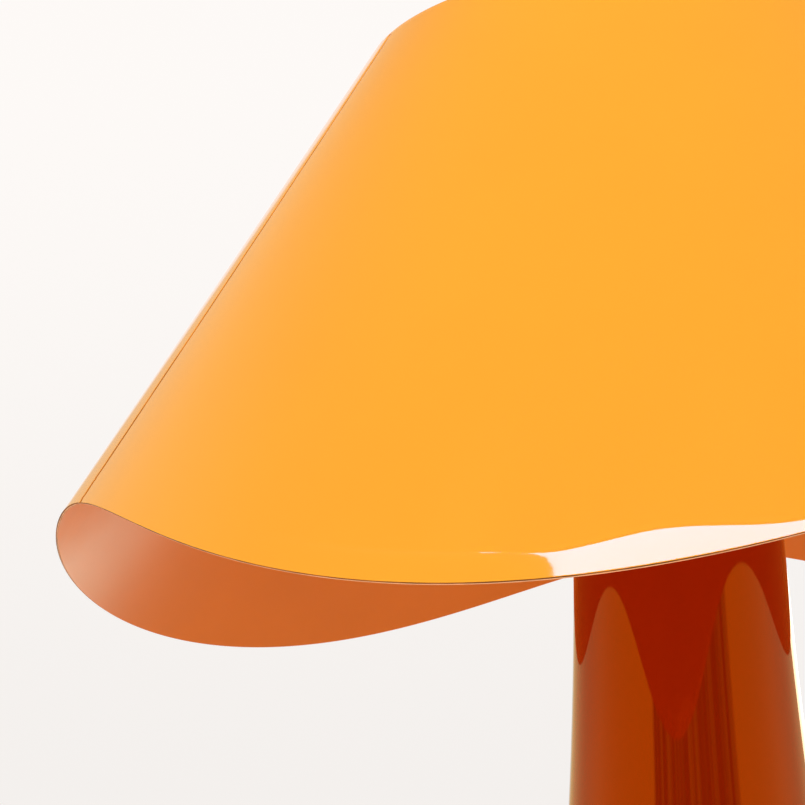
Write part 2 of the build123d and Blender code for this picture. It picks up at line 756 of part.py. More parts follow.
# ---------------------------------------------------------------- bulb
with BuildPart() as bulb_contact:
    with Locations((0, 0, bulb_bottom)):
        Cylinder(bulb_contact_radius, bulb_contact_height, align=BASE)
    fillet(bulb_contact.edges().group_by(Axis.Z)[0], radius=bulb_contact_height / 2)
bulb_contact.part.label = "bulb_contact"

with BuildPart() as bulb_insulator:
    with Locations((0, 0, bulb_bottom + bulb_contact_height)):
        Cone(
            bulb_contact_radius + bulb_contact_height,
            bulb_cap_radius - bulb_thread_depth - bulb_cap_wall,
            bulb_insulator_height,
            align=BASE,
        )
bulb_insulator.part.label = "bulb_insulator"

with BuildPart() as bulb_cap:
    root_radius = bulb_cap_radius - bulb_thread_depth
    bore_radius = root_radius - bulb_cap_wall
    with BuildSketch(Plane.XZ):
        with BuildLine():
            Line((bore_radius, bulb_cap_bottom), (root_radius, bulb_cap_bottom))
            for ridge in range(bulb_thread_turns):
                low = bulb_cap_bottom + ridge * bulb_thread_pitch
                ThreePointArc(
                    (root_radius, low),
                    (bulb_cap_radius, low + bulb_thread_pitch / 2),
                    (root_radius, low + bulb_thread_pitch),
                )
            thread_top = bulb_cap_bottom + bulb_thread_turns * bulb_thread_pitch
            Polyline(
                (root_radius, thread_top),
                (root_radius, bulb_cap_top),
                (bore_radius, bulb_cap_top),
                (bore_radius, bulb_cap_bottom),
            )
        make_face()
    revolve(axis=Axis.Z)
bulb_cap.part.label = "bulb_cap"

with BuildPart() as bulb_housing:
    with BuildSketch(Plane.XZ):
        with BuildLine():
            collar_top = (bulb_cap_radius, bulb_cap_top + bulb_collar_height)
            Polyline((0, bulb_cap_top), (bulb_cap_radius, bulb_cap_top), collar_top)
            RadiusArc(collar_top, (bulb_neck_radius, bulb_neck_top), -bulb_length)
            Polyline((bulb_neck_radius, bulb_neck_top), (0, bulb_neck_top), (0, bulb_cap_top))
        make_face()
    revolve(axis=Axis.Z)
bulb_housing.part.label = "bulb_housing"

with BuildPart() as bulb_board:
    with Locations((0, 0, bulb_neck_top)):
        Cylinder(led_board_radius, led_board_thickness, align=BASE)
bulb_board.part.label = "bulb_board"

with BuildPart() as bulb_diodes:
    with BuildSketch(Plane.XY.offset(bulb_neck_top + led_board_thickness)):
        with PolarLocations(led_circle_radius, led_count):
            Rectangle(led_size, led_size)
    extrude(amount=led_height)
bulb_diodes.part.label = "bulb_diodes"

with BuildPart() as bulb_globe:
    with Locations((0, 0, bulb_centre)):
        Sphere(bulb_radius)
        Sphere(bulb_radius - bulb_glass_wall, mode=Mode.SUBTRACT)
    split(bisect_by=Plane.XY.offset(bulb_neck_top), keep=Keep.TOP)
bulb_globe.part.label = "bulb_globe"

# ---------------------------------------------------------------- files
pieces = (
    foot_ring, base_plate, foot_flange, base_weight, base_plate_screws, weight_screws,
    stem_body, stem_top_plate, earth_screw, cable_inlet, cable_inlet_nut,
    threaded_pipe, pipe_washer, pipe_nut,
    cage_base_plate, *cage_rods, cage_lower_screws, cage_top_plate, cage_upper_screws,
    cage_post, cage_post_screw, seat_washer,
    shade_hub, shade_lid, shade_skin, lock_screw, lock_knob,
    holder_cap, holder_grub_screw, holder_sleeve, holder_insert, holder_screw_shell,
    holder_centre_contact, switch_block, switch_spindle, switch_key,
    bulb_contact, bulb_insulator, bulb_cap, bulb_housing, bulb_board, bulb_diodes, bulb_globe,
)
for piece in pieces:
    export_step(piece.part, f"parts/{piece.part.label}.step")
print(len(pieces), "pieces, overall height", round(shade_top, 1), "mm")
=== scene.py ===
"""Dresses the mushroom floor lamp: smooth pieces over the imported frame, their finishes, the studio and the camera.

Sizes are in millimetres until a mesh is made, and metres from there on, in the frame's own axes: +Z up, the
camera looks along +Y. A bearing is counted in degrees round the lamp's axis, from +X.
"""

import logging
from collections.abc import Callable, Sequence
from dataclasses import dataclass
from enum import Enum
from math import asin, atan2, cos, pi, radians, sin, sqrt, tan, tau

import bmesh
import bpy
from mathutils import Matrix, Vector


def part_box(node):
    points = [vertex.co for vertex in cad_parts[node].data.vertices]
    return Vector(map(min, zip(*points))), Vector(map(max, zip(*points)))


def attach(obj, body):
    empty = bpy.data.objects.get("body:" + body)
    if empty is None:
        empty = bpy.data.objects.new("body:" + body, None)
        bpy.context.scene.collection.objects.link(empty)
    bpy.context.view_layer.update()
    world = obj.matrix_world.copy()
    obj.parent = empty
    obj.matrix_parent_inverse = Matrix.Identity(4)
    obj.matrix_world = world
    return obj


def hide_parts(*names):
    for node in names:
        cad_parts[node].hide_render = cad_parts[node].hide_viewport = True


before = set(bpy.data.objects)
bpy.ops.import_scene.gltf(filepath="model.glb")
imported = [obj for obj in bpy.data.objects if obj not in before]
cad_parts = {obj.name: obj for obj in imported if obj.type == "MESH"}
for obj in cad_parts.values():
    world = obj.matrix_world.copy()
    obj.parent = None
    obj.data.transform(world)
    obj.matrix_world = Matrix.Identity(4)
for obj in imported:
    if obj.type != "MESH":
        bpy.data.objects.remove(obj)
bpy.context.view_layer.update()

log = logging.getLogger("floor_lamp")
MM = 0.001
TINY = 1e-6  # a length in millimetres that counts as none


# ------------------------------------------------------------------------------------------ writing node trees
@dataclass(frozen=True)
class Term:
    """A value in a node tree that reads as arithmetic."""

    writer: "NodeWriter"
    socket: bpy.types.NodeSocket

    def __add__(self, other: "Value") -> "Term":
        """The sum."""
        return self.writer.maths("ADD", self, other)

    def __radd__(self, other: "Value") -> "Term":
        """The sum, with a plain number first."""
        return self.writer.maths("ADD", other, self)

    def __sub__(self, other: "Value") -> "Term":
        """The difference."""
        return self.writer.maths("SUBTRACT", self, other)

    def __rsub__(self, other: "Value") -> "Term":
        """The difference, with a plain number first."""
        return self.writer.maths("SUBTRACT", other, self)

    def __mul__(self, other: "Value") -> "Term":
        """The product."""
        return self.writer.maths("MULTIPLY", self, other)

    def __rmul__(self, other: "Value") -> "Term":
        """The product, with a plain number first."""
        return self.writer.maths("MULTIPLY", other, self)

    def __truediv__(self, other: "Value") -> "Term":
        """The quotient."""
        return self.writer.maths("DIVIDE", self, other)


Value = float | bpy.types.NodeSocket | Term


class NodeWriter:
    """Adds nodes to one tree and links them as it goes."""

    def __init__(self, tree: bpy.types.NodeTree) -> None:
        """Starts on a tree.

        Args:
            tree: the node tree of a material, a world or a geometry recipe.
        """
        self.tree = tree

    def feed(self, socket: bpy.types.NodeSocket, value: object) -> None:
        """Links a value to an input socket, or sets it there if it is plain.

        Args:
            socket: the input.
            value: a Term, an output socket, or a plain value.
        """
        if isinstance(value, Term):
            value = value.socket
        if isinstance(value, bpy.types.NodeSocket):
            self.tree.links.new(value, socket)
        else:
            socket.default_value = value

    def add(self, kind: str, inputs: dict | None = None, **settings: object) -> bpy.types.Node:
        """Adds a node.

        Args:
            kind: the node's type name.
            inputs: values for its input sockets, by name or number.
            **settings: the node's own properties.

        Returns:
            The new node.
        """
        node = self.tree.nodes.new(kind)
        for name, value in settings.items():
            setattr(node, name, value)
        for key, value in (inputs or {}).items():
            self.feed(node.inputs[key], value)
        return node

    def term(self, node: bpy.types.Node, output: str | int = 0) -> Term:
        """One output of a node as a Term."""
        return Term(self, node.outputs[output])

    def maths(self, operation: str, *values: Value) -> Term:
        """A maths node over up to three values."""
        return self.term(self.add("ShaderNodeMath", dict(enumerate(values)), operation=operation))

    def ramp(self, value: Value, start: Value, end: Value, low: Value = 0.0, high: Value = 1.0) -> Term:
        """Goes smoothly from low to high as a value goes from start to end.

        Args:
            value: what is mapped.
            start: where the rise starts.
            end: where it ends.
            low: the result up to start.
            high: the result from end on.

        Returns:
            The mapped value.
        """
        inputs = {"Value": value, "From Min": start, "From Max": end, "To Min": low, "To Max": high}
        return self.term(self.add("ShaderNodeMapRange", inputs, interpolation_type="SMOOTHSTEP"), "Result")

    def noise(self, scale: float, where: Value | None = None, detail: float = 2.0, rough: float = 0.5) -> Term:
        """Soft noise from 0 to 1.

        Args:
            scale: waves per metre.
            where: the coordinates, or None for the tree's own.
            detail: how many finer layers it has.
            rough: how strong these are.

        Returns:
            The noise value.
        """
        inputs = {"Scale": scale, "Detail": detail, "Roughness": rough}
        if where is not None:
            inputs["Vector"] = where
        return self.term(self.add("ShaderNodeTexNoise", inputs))

    def blend(self, share: Value, first: object, second: object, mode: str = "MIX") -> Term:
        """Mixes two colours.

        Args:
            share: how much of the second.
            first: the colour at 0.
            second: the colour at 1.
            mode: Blender's name of the mix.

        Returns:
            The mixed colour.
        """
        node = self.add("ShaderNodeMix", {0: share, 6: first, 7: second}, data_type="RGBA", blend_type=mode)
        return self.term(node, 2)


class Recipe:
    """A Geometry Nodes tree with named inputs, which is run once on a mesh and leaves a plain mesh behind."""

    def __init__(self, name: str) -> None:
        """Starts a tree.

        Args:
            name: what the tree makes.
        """
        self.tree = bpy.data.node_groups.new(name, "GeometryNodeTree")
        self.tree.interface.new_socket("Geometry", in_out="INPUT", socket_type="NodeSocketGeometry")
        self.tree.interface.new_socket("Geometry", in_out="OUTPUT", socket_type="NodeSocketGeometry")
        self.write = NodeWriter(self.tree)
        self.source = self.write.add("NodeGroupInput")
        self.values: dict[str, object] = {}

    def size(self, name: str, value: object, kind: str = "NodeSocketFloat") -> Term:
        """Adds a named input and keeps the value that it is run with.

        Args:
            name: the input's name.
            value: its value, in metres, radians or as a material.
            kind: the type of its socket.

        Returns:
            The input as a Term.
        """
        socket = self.tree.interface.new_socket(name, in_out="INPUT", socket_type=kind)
        self.values[socket.identifier] = value
        return Term(self.write, self.source.outputs[name])

    def material(self, finish: "Finish", name: str = "Finish") -> Term:
        """Adds a material as a named input."""
        return self.size(name, finish.material(), "NodeSocketMaterial")

    def attribute(self, name: str, kind: str = "FLOAT") -> Term:
        """Reads a named attribute of the mesh."""
        node = self.write.add("GeometryNodeInputNamedAttribute", {"Name": name}, data_type=kind)
        return self.write.term(node, "Attribute")

    def close(self, shape: Value, coats: Sequence[tuple[Term, Value | None]]) -> None:
        """Ends the tree in Realize Instances and Set Material.

        Args:
            shape: the geometry.
            coats: each material, and the faces that it goes on, or None for all.
        """
        last = self.write.term(self.write.add("GeometryNodeRealizeInstances", {"Geometry": shape}))
        for material, faces in coats:
            inputs = {"Geometry": last, "Material": material}
            if faces is not None:
                inputs["Selection"] = faces
            last = self.write.term(self.write.add("GeometryNodeSetMaterial", inputs))
        self.write.add("NodeGroupOutput", {0: last})

    def run(self, piece: bpy.types.Object) -> bpy.types.Object:
        """Runs the tree on a piece's mesh and puts the result in its place.

        Args:
            piece: the object whose mesh goes in.

        Returns:
            The same object, with a plain mesh and no modifier.
        """
        modifier = piece.modifiers.new(self.tree.name, "NODES")
        modifier.node_group = self.tree
        for identifier, value in self.values.items():
            modifier[identifier] = value
        replace_mesh(piece)
        return piece


# ------------------------------------------------------------------------------------------ finishes
class Grain(Enum):
    """How a finish breaks up close to, how many finer layers its relief has, and how strong these are."""

    PEEL = ("orange peel of sprayed enamel", 1.0, 0.4)
    BRUSHED = ("fine lines round the piece", 6.0, 0.7)
    CAST = ("coarse sand-cast skin", 8.0, 0.65)
    POWDER = ("fine grit of powder coat", 3.0, 0.8)
    MOULDED = ("faint haze of moulded plastic", 4.0, 0.6)
    PLATED = ("bright plating with faint clouds", 1.0, 0.4)


@dataclass(frozen=True)
class Finish:
    """A surface finish, made into a node material once and then shared.

    The grain size is the width of its waves in millimetres, and the grain depth how far they stand up. mottle is
    how far the colour drifts, and tint colours the mirror image that the surface gives straight on.
    """

    name: str
    colour: tuple[float, float, float]
    rough: float
    grain: Grain
    grain_size: float = 2.0
    grain_depth: float = 0.01
    metal: float = 0.0
    mottle: float = 0.04
    rough_drift: float = 0.03
    ior: float = 1.5
    coat: float = 0.0
    tint: tuple[float, float, float] = (1.0, 1.0, 1.0)
    through: float = 0.0
    specks: float = 0.0

    def material(self) -> bpy.types.Material:
        """The node material of this finish, made at its first use.

        Returns:
            The shared material.
        """
        made = bpy.data.materials.get(f"{self.name}_finish")
        if made is not None:
            return made
        made = bpy.data.materials.new(f"{self.name}_finish")
        made.use_nodes = True
        made.node_tree.nodes.clear()
        write = NodeWriter(made.node_tree)
        where = write.add("ShaderNodeTexCoord").outputs["Object"]
        drift = write.noise(1 / (12 * self.grain_size * MM), where, 3.0)
        relief = {"Height": self.relief(write, where), "Strength": 1.0, "Distance": self.grain_depth * MM}
        shader = write.add(
            "ShaderNodeBsdfPrincipled",
            {
                "Base Color": self.colours(write, where),
                "Metallic": self.metal,
                "Roughness": drift * (2 * self.rough_drift) + (self.rough - self.rough_drift),
                "IOR": self.ior,
                "Normal": write.add("ShaderNodeBump", relief).outputs["Normal"],
                "Subsurface Weight": self.through,
                "Subsurface Radius": (0.004, 0.004, 0.004),
                "Specular Tint": (*self.tint, 1.0),
                "Coat Weight": self.coat,
                "Coat Roughness": 0.04,
            },
        )
        write.add("ShaderNodeOutputMaterial", {"Surface": shader.outputs["BSDF"]})
        return made

    def colours(self, write: NodeWriter, where: bpy.types.NodeSocket) -> Term:
        """The finish's colour with its drift and specks.

        Args:
            write: the writer of the material's tree.
            where: the coordinates.

        Returns:
            The colour.
        """
        darker = tuple(channel * (1 - self.mottle) for channel in self.colour)
        lighter = tuple(min(1.0, channel * (1 + self.mottle)) for channel in self.colour)
        cloud = write.noise(1 / (30 * self.grain_size * MM), where, 4.0)
        colour = write.blend(write.ramp(cloud, 0.3, 0.7), (*darker, 1.0), (*lighter, 1.0))
        if self.specks:
            cell = write.add("ShaderNodeTexVoronoi", {"Vector": where, "Scale": 1 / (9 * MM)})
            dot = write.ramp(cell.outputs["Distance"], 0.035, 0.02)
            chance = write.term(write.add("ShaderNodeSeparateColor", {0: cell.outputs["Color"]}))
            rare = write.maths("GREATER_THAN", chance, 0.8)
            dark = tuple(0.55 * channel for channel in self.colour)
            colour = write.blend(dot * rare * self.specks, colour, (*dark, 1.0))
        return colour

    def relief(self, write: NodeWriter, where: bpy.types.NodeSocket) -> Term:
        """The height of the finish's fine relief, from 0 to 1.

        Args:
            write: the writer of the material's tree.
            where: the coordinates.

        Returns:
            The height.
        """
        _, detail, strength = self.grain.value
        if self.grain is Grain.BRUSHED:
            where = write.add("ShaderNodeMapping", {"Vector": where, "Scale": (0.05, 0.05, 1.0)}).outputs[0]
        return write.noise(1 / (self.grain_size * MM), where, detail, strength)


SHADE_ENAMEL = Finish("shade_enamel", (1.0, 0.412, 0.023), 0.05, Grain.PEEL, 3.5, 0.009, mottle=0.012,
                      rough_drift=0.012, ior=1.45, specks=0.35)
SHADE_INSIDE = Finish("shade_inside", (0.86, 0.212, 0.011), 0.34, Grain.PEEL, 3.0, 0.006, ior=1.5, mottle=0.03)
SHEET_EDGE = Finish("sheet_edge", (0.86, 0.44, 0.22), 0.5, Grain.POWDER, 0.5, 0.03, ior=1.25, mottle=0.25)
EDGE_LINE = Finish("edge_line", (0.30, 0.085, 0.015), 0.5, Grain.POWDER, 0.4, 0.03, ior=1.2, mottle=0.4)
SEAM_LINE = Finish("seam_line", (0.56, 0.17, 0.014), 0.5, Grain.POWDER, 0.6, 0.02, ior=1.12, mottle=0.25)
STEM_ENAMEL = Finish("stem_enamel", (0.39, 0.0185, 0.0009), 0.035, Grain.PEEL, 4.0, 0.0025, mottle=0.01,
                     rough_drift=0.008, ior=1.5, metal=0.25, tint=(1.0, 1.0, 0.0))
ZINC = Finish("zinc_steel", (0.60, 0.61, 0.60), 0.30, Grain.BRUSHED, 0.35, 0.012, metal=1.0, mottle=0.08)
BLACK_STEEL = Finish("black_steel", (0.022, 0.022, 0.023), 0.48, Grain.POWDER, 0.6, 0.05, mottle=0.15)
CAST_IRON = Finish("cast_iron", (0.095, 0.092, 0.088), 0.62, Grain.CAST, 1.8, 0.25, metal=0.3, mottle=0.25)
RUBBER = Finish("foot_rubber", (0.024, 0.024, 0.024), 0.72, Grain.MOULDED, 0.7, 0.03, mottle=0.2)
INLET_PLASTIC = Finish("inlet_plastic", (0.020, 0.020, 0.021), 0.42, Grain.MOULDED, 0.5, 0.01, mottle=0.1)
BRASS = Finish("brass", (0.78, 0.54, 0.22), 0.24, Grain.PLATED, 0.8, 0.004, metal=1.0, mottle=0.09)
NYLON = Finish("nylon", (0.80, 0.78, 0.71), 0.45, Grain.MOULDED, 0.9, 0.01, through=0.25, mottle=0.05)
PHENOLIC = Finish("holder_plastic", (0.018, 0.017, 0.017), 0.27, Grain.MOULDED, 0.6, 0.006, mottle=0.12)
STEATITE = Finish("ceramic_insert", (0.78, 0.76, 0.71), 0.22, Grain.PLATED, 1.4, 0.02, through=0.1, mottle=0.05)
NICKEL = Finish("nickel", (0.66, 0.63, 0.58), 0.2, Grain.PLATED, 0.7, 0.003, metal=1.0, mottle=0.06)
BLACK_GLASS = Finish("black_glass", (0.012, 0.011, 0.014), 0.08, Grain.PLATED, 1.0, 0.002, coat=0.6)
LAMP_PLASTIC = Finish("bulb_plastic", (0.80, 0.80, 0.78), 0.38, Grain.MOULDED, 0.5, 0.008, through=0.15)
LED_ALUMINIUM = Finish("led_aluminium", (0.78, 0.79, 0.80), 0.35, Grain.BRUSHED, 0.3, 0.01, metal=1.0)
LED_PHOSPHOR = Finish("led_phosphor", (0.86, 0.62, 0.10), 0.3, Grain.MOULDED, 0.4, 0.01, mottle=0.1)
OPAL_GLASS = Finish("opal_glass", (0.90, 0.89, 0.86), 0.12, Grain.PLATED, 3.0, 0.002, through=0.6, coat=0.5,
                    mottle=0.015)


# ------------------------------------------------------------------------------------------ making meshes
def replace_mesh(piece: bpy.types.Object) -> None:
    """Makes a piece's modifiers part of its mesh.

    Args:
        piece: the object, linked to the scene.
    """
    bpy.context.view_layer.update()
    graph = bpy.context.evaluated_depsgraph_get()
    made = bpy.data.meshes.new_from_object(piece.evaluated_get(graph), preserve_all_data_layers=True, depsgraph=graph)
    old = piece.data
    piece.modifiers.clear()
    piece.data = made
    bpy.data.meshes.remove(old)
    made.name = piece.name


def new_piece(name: str, points: Sequence[Sequence[float]], faces: Sequence[Sequence[int]]) -> bpy.types.Object:
    """A smooth-shaded mesh object at the origin, linked to the scene.

    Args:
        name: the piece's name.
        points: its corners, in metres.
        faces: corner numbers of each face.

    Returns:
        The object.
    """
    mesh = bpy.data.meshes.new(name)
    mesh.from_pydata(points, [], faces)
    mesh.update()
    mesh.polygons.foreach_set("use_smooth", [True] * len(mesh.polygons))
    piece = bpy.data.objects.new(name, mesh)
    bpy.context.scene.collection.objects.link(piece)
    return piece


def face_outwards(piece: bpy.types.Object) -> None:
    """Turns all faces of a closed mesh outwards.

    Args:
        piece: the object that has the mesh.
    """
    shape = bmesh.new()
    shape.from_mesh(piece.data)
    bmesh.ops.recalc_face_normals(shape, faces=shape.faces)
    shape.to_mesh(piece.data)
    shape.free()


class Form(Enum):
    """The outline that a turned corner follows as it goes round."""

    ROUND = "circle"
    HEX = "hexagon, its size across the flats"
    FLUTED = "circle with eight finger flutes"

    def share(self, turn: float) -> float:
        """The radius at a turn over the nominal one.

        Args:
            turn: the angle in radians.

        Returns:
            1 for a circle, and more or less for the others.
        """
        if self is Form.HEX:
            return 1 / cos((turn + pi / 6) % (pi / 3) - pi / 6)
        if self is Form.FLUTED:
            return 1 - 0.17 * max(0.0, cos(8 * turn)) ** 2
        return 1.0


@dataclass(frozen=True)
class Corner:
    """A corner of a turned profile: its distance from the axis, its height, and how far it is rounded."""

    radius: float
    height: float
    ease: float = 0.25
    form: Form = Form.ROUND


def eased(corners: Sequence[Corner], steps: int = 4) -> list[Corner]:
    """Rounds a closed profile's corners, with a close pair of points on both sides of each arc.

    Args:
        corners: the profile in order.
        steps: the facets of each arc.

    Returns:
        The rounded profile.
    """
    out: list[Corner] = []
    for index, corner in enumerate(corners):
        before, after = corners[index - 1], corners[(index + 1) % len(corners)]
        here = Vector((corner.radius, corner.height))
        back, on = Vector((before.radius, before.height)) - here, Vector((after.radius, after.height)) - here
        room = min(back.length, on.length) * 0.42
        half = back.angle(on) / 2 if room > TINY else 0.0
        reach = min(corner.ease / tan(half), room) if half > 1e-3 else 0.0
        if corner.ease <= 0 or corner.radius < TINY or reach < TINY or half > pi / 2 - 0.02:
            out.append(corner)
            continue
        start, end = here + back.normalized() * reach, here + on.normalized() * reach
        support = min(0.15 * reach + 0.05, 0.3 * room)
        bulge = (here - (start + end) / 2) * (2 * sin(half))
        arc = [start.lerp(end, step / steps) + bulge * (step / steps * (1 - step / steps)) for step in range(steps + 1)]
        arc = [start + back.normalized() * support, *arc, end + on.normalized() * support]
        out += [Corner(place.x, place.y, 0.0, corner.form) for place in arc]
    return out


def turned(
    name: str,
    corners: Sequence[Corner],
    finish: Finish,
    place: Matrix | None = None,
    segments: int = 96,
    inside: tuple[Finish, Callable[[float, float], bool]] | None = None,
) -> bpy.types.Object:
    """A piece turned about an axis from a closed profile.

    Args:
        name: the piece's name.
        corners: the profile in millimetres, about the local Z axis.
        finish: what it is finished in.
        place: where the local axes go in the frame, in metres, or None for the lamp's own axis.
        segments: facets round the axis.
        inside: a second finish, and the test of radius and height that its faces pass.

    Returns:
        The finished object.
    """
    profile = eased(corners)
    place = place or Matrix.Identity(4)
    points: list[Vector] = []
    rings: list[list[int]] = []
    for corner in profile:
        if corner.radius < TINY:
            rings.append([len(points)] * segments)
            points.append(place @ Vector((0, 0, corner.height * MM)))
            continue
        rings.append(list(range(len(points), len(points) + segments)))
        for step in range(segments):
            turn = tau * step / segments
            radius = corner.radius * corner.form.share(turn) * MM
            points.append(place @ Vector((radius * cos(turn), radius * sin(turn), corner.height * MM)))
    faces, coats = [], []
    for index, ring in enumerate(rings):
        following = rings[(index + 1) % len(rings)]
        if ring[0] == ring[1] and following[0] == following[1]:
            continue
        here, there = profile[index], profile[(index + 1) % len(profile)]
        middle = ((here.radius + there.radius) / 2, (here.height + there.height) / 2)
        coat = 1 if inside and inside[1](*middle) else 0
        for step in range(segments):
            after = (step + 1) % segments
            faces.append(list(dict.fromkeys((ring[step], ring[after], following[after], following[step]))))
            coats.append(coat)
    piece = new_piece(name, points, faces)
    piece.data.materials.append(finish.material())
    if inside:
        piece.data.materials.append(inside[0].material())
        piece.data.polygons.foreach_set("material_index", coats)
    face_outwards(piece)
    return piece


def box_profile(inner: float, outer: float, low: float, high: float, ease: float = 0.25) -> list[Corner]:
    """The profile of a ring or disc with a rectangular section.

    Args:
        inner: its inner radius, or 0 for a disc.
        outer: its outer radius.
        low: its lower face.
        high: its upper face.
        ease: how far its edges are rounded.

    Returns:
        The corners in order.
    """
    return [Corner(inner, low, ease), Corner(outer, low, ease), Corner(outer, high, ease), Corner(inner, high, ease)]


def bored(piece: bpy.types.Object, start: Vector, way: Vector, radius: float, length: float) -> None:
    """Cuts a round hole into a piece.

    Args:
        piece: what is bored.
        start: where the hole's axis starts, in metres.
        way: the way that it goes.
        radius: its radius in metres.
        length: its length in metres.
    """
    sides = 48
    place = Matrix.Translation(start) @ way.to_track_quat("Z", "Y").to_matrix().to_4x4()
    turns = [tau * side / sides for side in range(sides)]
    points = [place @ Vector((radius * cos(turn), radius * sin(turn), z)) for z in (0, length) for turn in turns]
    faces = [(side, (side + 1) % sides, sides + (side + 1) % sides, sides + side) for side in range(sides)]
    cutter = new_piece("cutter", points, faces + [tuple(range(sides - 1, -1, -1)), tuple(range(sides, 2 * sides))])
    cut = piece.modifiers.new("bore", "BOOLEAN")
    cut.operation, cut.solver, cut.object = "DIFFERENCE", "EXACT", cutter
    replace_mesh(piece)
    bpy.data.objects.remove(cutter)


def axis_place(origin: tuple[float, float, float], way: tuple[float, float, float]) -> Matrix:
    """The place of a turned piece whose axis starts at a point and goes a given way.

    Args:
        origin: the point in millimetres.
        way: the direction of the axis.

    Returns:
        The matrix from local axes to the frame, in metres.
    """
    turn = Vector(way).to_track_quat("Z", "Y").to_matrix().to_4x4()
    return Matrix.Translation(Vector(origin) * MM) @ turn


def ring_of(
    part: bpy.types.Object, finish: Finish, count: int, circle: float, first: float, recipe_name: str
) -> bpy.types.Object:
    """Repeats a small part round the lamp's axis with Geometry Nodes.

    Args:
        part: one of them, standing on the axis.
        finish: what they are finished in.
        count: how many there are.
        circle: the radius of their circle in millimetres.
        first: the bearing of the first.
        recipe_name: the tree's name.

    Returns:
        The same object, which now holds them all.
    """
    recipe = Recipe(recipe_name)
    write = recipe.write
    number = recipe.size("Count", count, "NodeSocketInt")
    radius = recipe.size("Circle Radius", circle * MM)
    bearing = recipe.size("First Bearing", radians(first))
    material = recipe.material(finish)
    circle_points = write.add("GeometryNodeMeshCircle", {"Vertices": number, "Radius": radius})
    index = write.term(write.add("GeometryNodeInputIndex"))
    turn = write.add("ShaderNodeCombineXYZ", {"Z": index * tau / write.maths("MAXIMUM", number, 1.0) + bearing})
    copies = write.add(
        "GeometryNodeInstanceOnPoints",
        {"Points": circle_points.outputs[0], "Instance": recipe.source.outputs[0], "Rotation": turn.outputs[0]},
    )
    whole = write.add(
        "GeometryNodeTransform",
        {"Geometry": copies.outputs[0], "Rotation": write.add("ShaderNodeCombineXYZ", {"Z": bearing}).outputs[0]},
    )
    recipe.close(whole.outputs[0], [(material, None)])
    return recipe.run(part)


def thread_on(
    piece: bpy.types.Object, finish: Finish, radius: float, low: float, high: float, pitch: float, wire: float,
    place: Matrix | None = None,
) -> None:
    """Winds a helical ridge on a turned piece with Geometry Nodes, and joins it on.

    Args:
        piece: the piece that gets the thread.
        finish: what the ridge is finished in.
        radius: the ridge's middle radius, in millimetres.
        low: where it starts on the local axis.
        high: where it ends.
        pitch: the rise of one turn.
        wire: half of the ridge's width.
        place: where the local axes go, or None for the lamp's own axis.
    """
    recipe = Recipe(f"{piece.name}_thread")
    write = recipe.write
    rise = recipe.size("Pitch", pitch * MM)
    length = recipe.size("Length", (high - low) * MM)
    around = recipe.size("Radius", radius * MM)
    width = recipe.size("Ridge", wire * MM)
    material = recipe.material(finish)
    spiral = write.add(
        "GeometryNodeCurveSpiral",
        {"Resolution": 48, "Rotations": length / rise, "Start Radius": around, "End Radius": around, "Height": length},
    )
    section = write.add("GeometryNodeCurvePrimitiveCircle", {"Resolution": 8, "Radius": width}, mode="RADIUS")
    ridge = write.add(
        "GeometryNodeCurveToMesh",
        {"Curve": spiral.outputs[0], "Profile Curve": section.outputs[0], "Fill Caps": True},
    )
    smooth = write.add("GeometryNodeSetShadeSmooth", {0: ridge.outputs[0]})
    recipe.close(smooth.outputs[0], [(material, None)])
    winding = recipe.run(new_piece(f"{piece.name}_ridge", [(0, 0, 0)], []))
    winding.data.transform((place or Matrix.Identity(4)) @ Matrix.Translation((0, 0, low * MM)))
    shape = bmesh.new()
    shape.from_mesh(piece.data)
    shape.from_mesh(winding.data)
    shape.to_mesh(piece.data)
    shape.free()
    bpy.data.objects.remove(winding)


# ------------------------------------------------------------------------------------------ sub-assemblies
class SubAssembly:
    """Shared ways of a sub-assembly to fit its pieces to the frame."""

    def stand_in(self, piece: bpy.types.Object, body: str, slot: str, *nodes: str) -> bpy.types.Object:
        """Puts a piece in the place of CAD nodes.

        Args:
            piece: the scene's own piece, final in shape.
            body: the CAD body that it rides on.
            slot: the record's material slot. It is not used.
            *nodes: the CAD nodes that it stands for.

        Returns:
            The piece.
        """
        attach(piece, body)
        if nodes:
            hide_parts(*nodes)
        log.info("%s on %s, %d faces, for %s", piece.name, body, len(piece.data.polygons), ", ".join(nodes) or "itself")
        return piece

    def keep(self, finish: Finish, *nodes: str) -> None:
        """Leaves CAD nodes showing, in a finish.

        Args:
            finish: what they are finished in.
            *nodes: their names.
        """
        for node in nodes:
            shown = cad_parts[node]
            shown.data.materials.clear()
            shown.data.materials.append(finish.material())
            log.info("%s kept from the frame in %s", node, finish.name)


@dataclass
class Wave:
    """One of the hem's waves: how many round the shade, how far its crests hang down and flare out, and the
    bearing of a crest."""

    label: str
    count: int
    drop: float
    flare: float
    crest: float


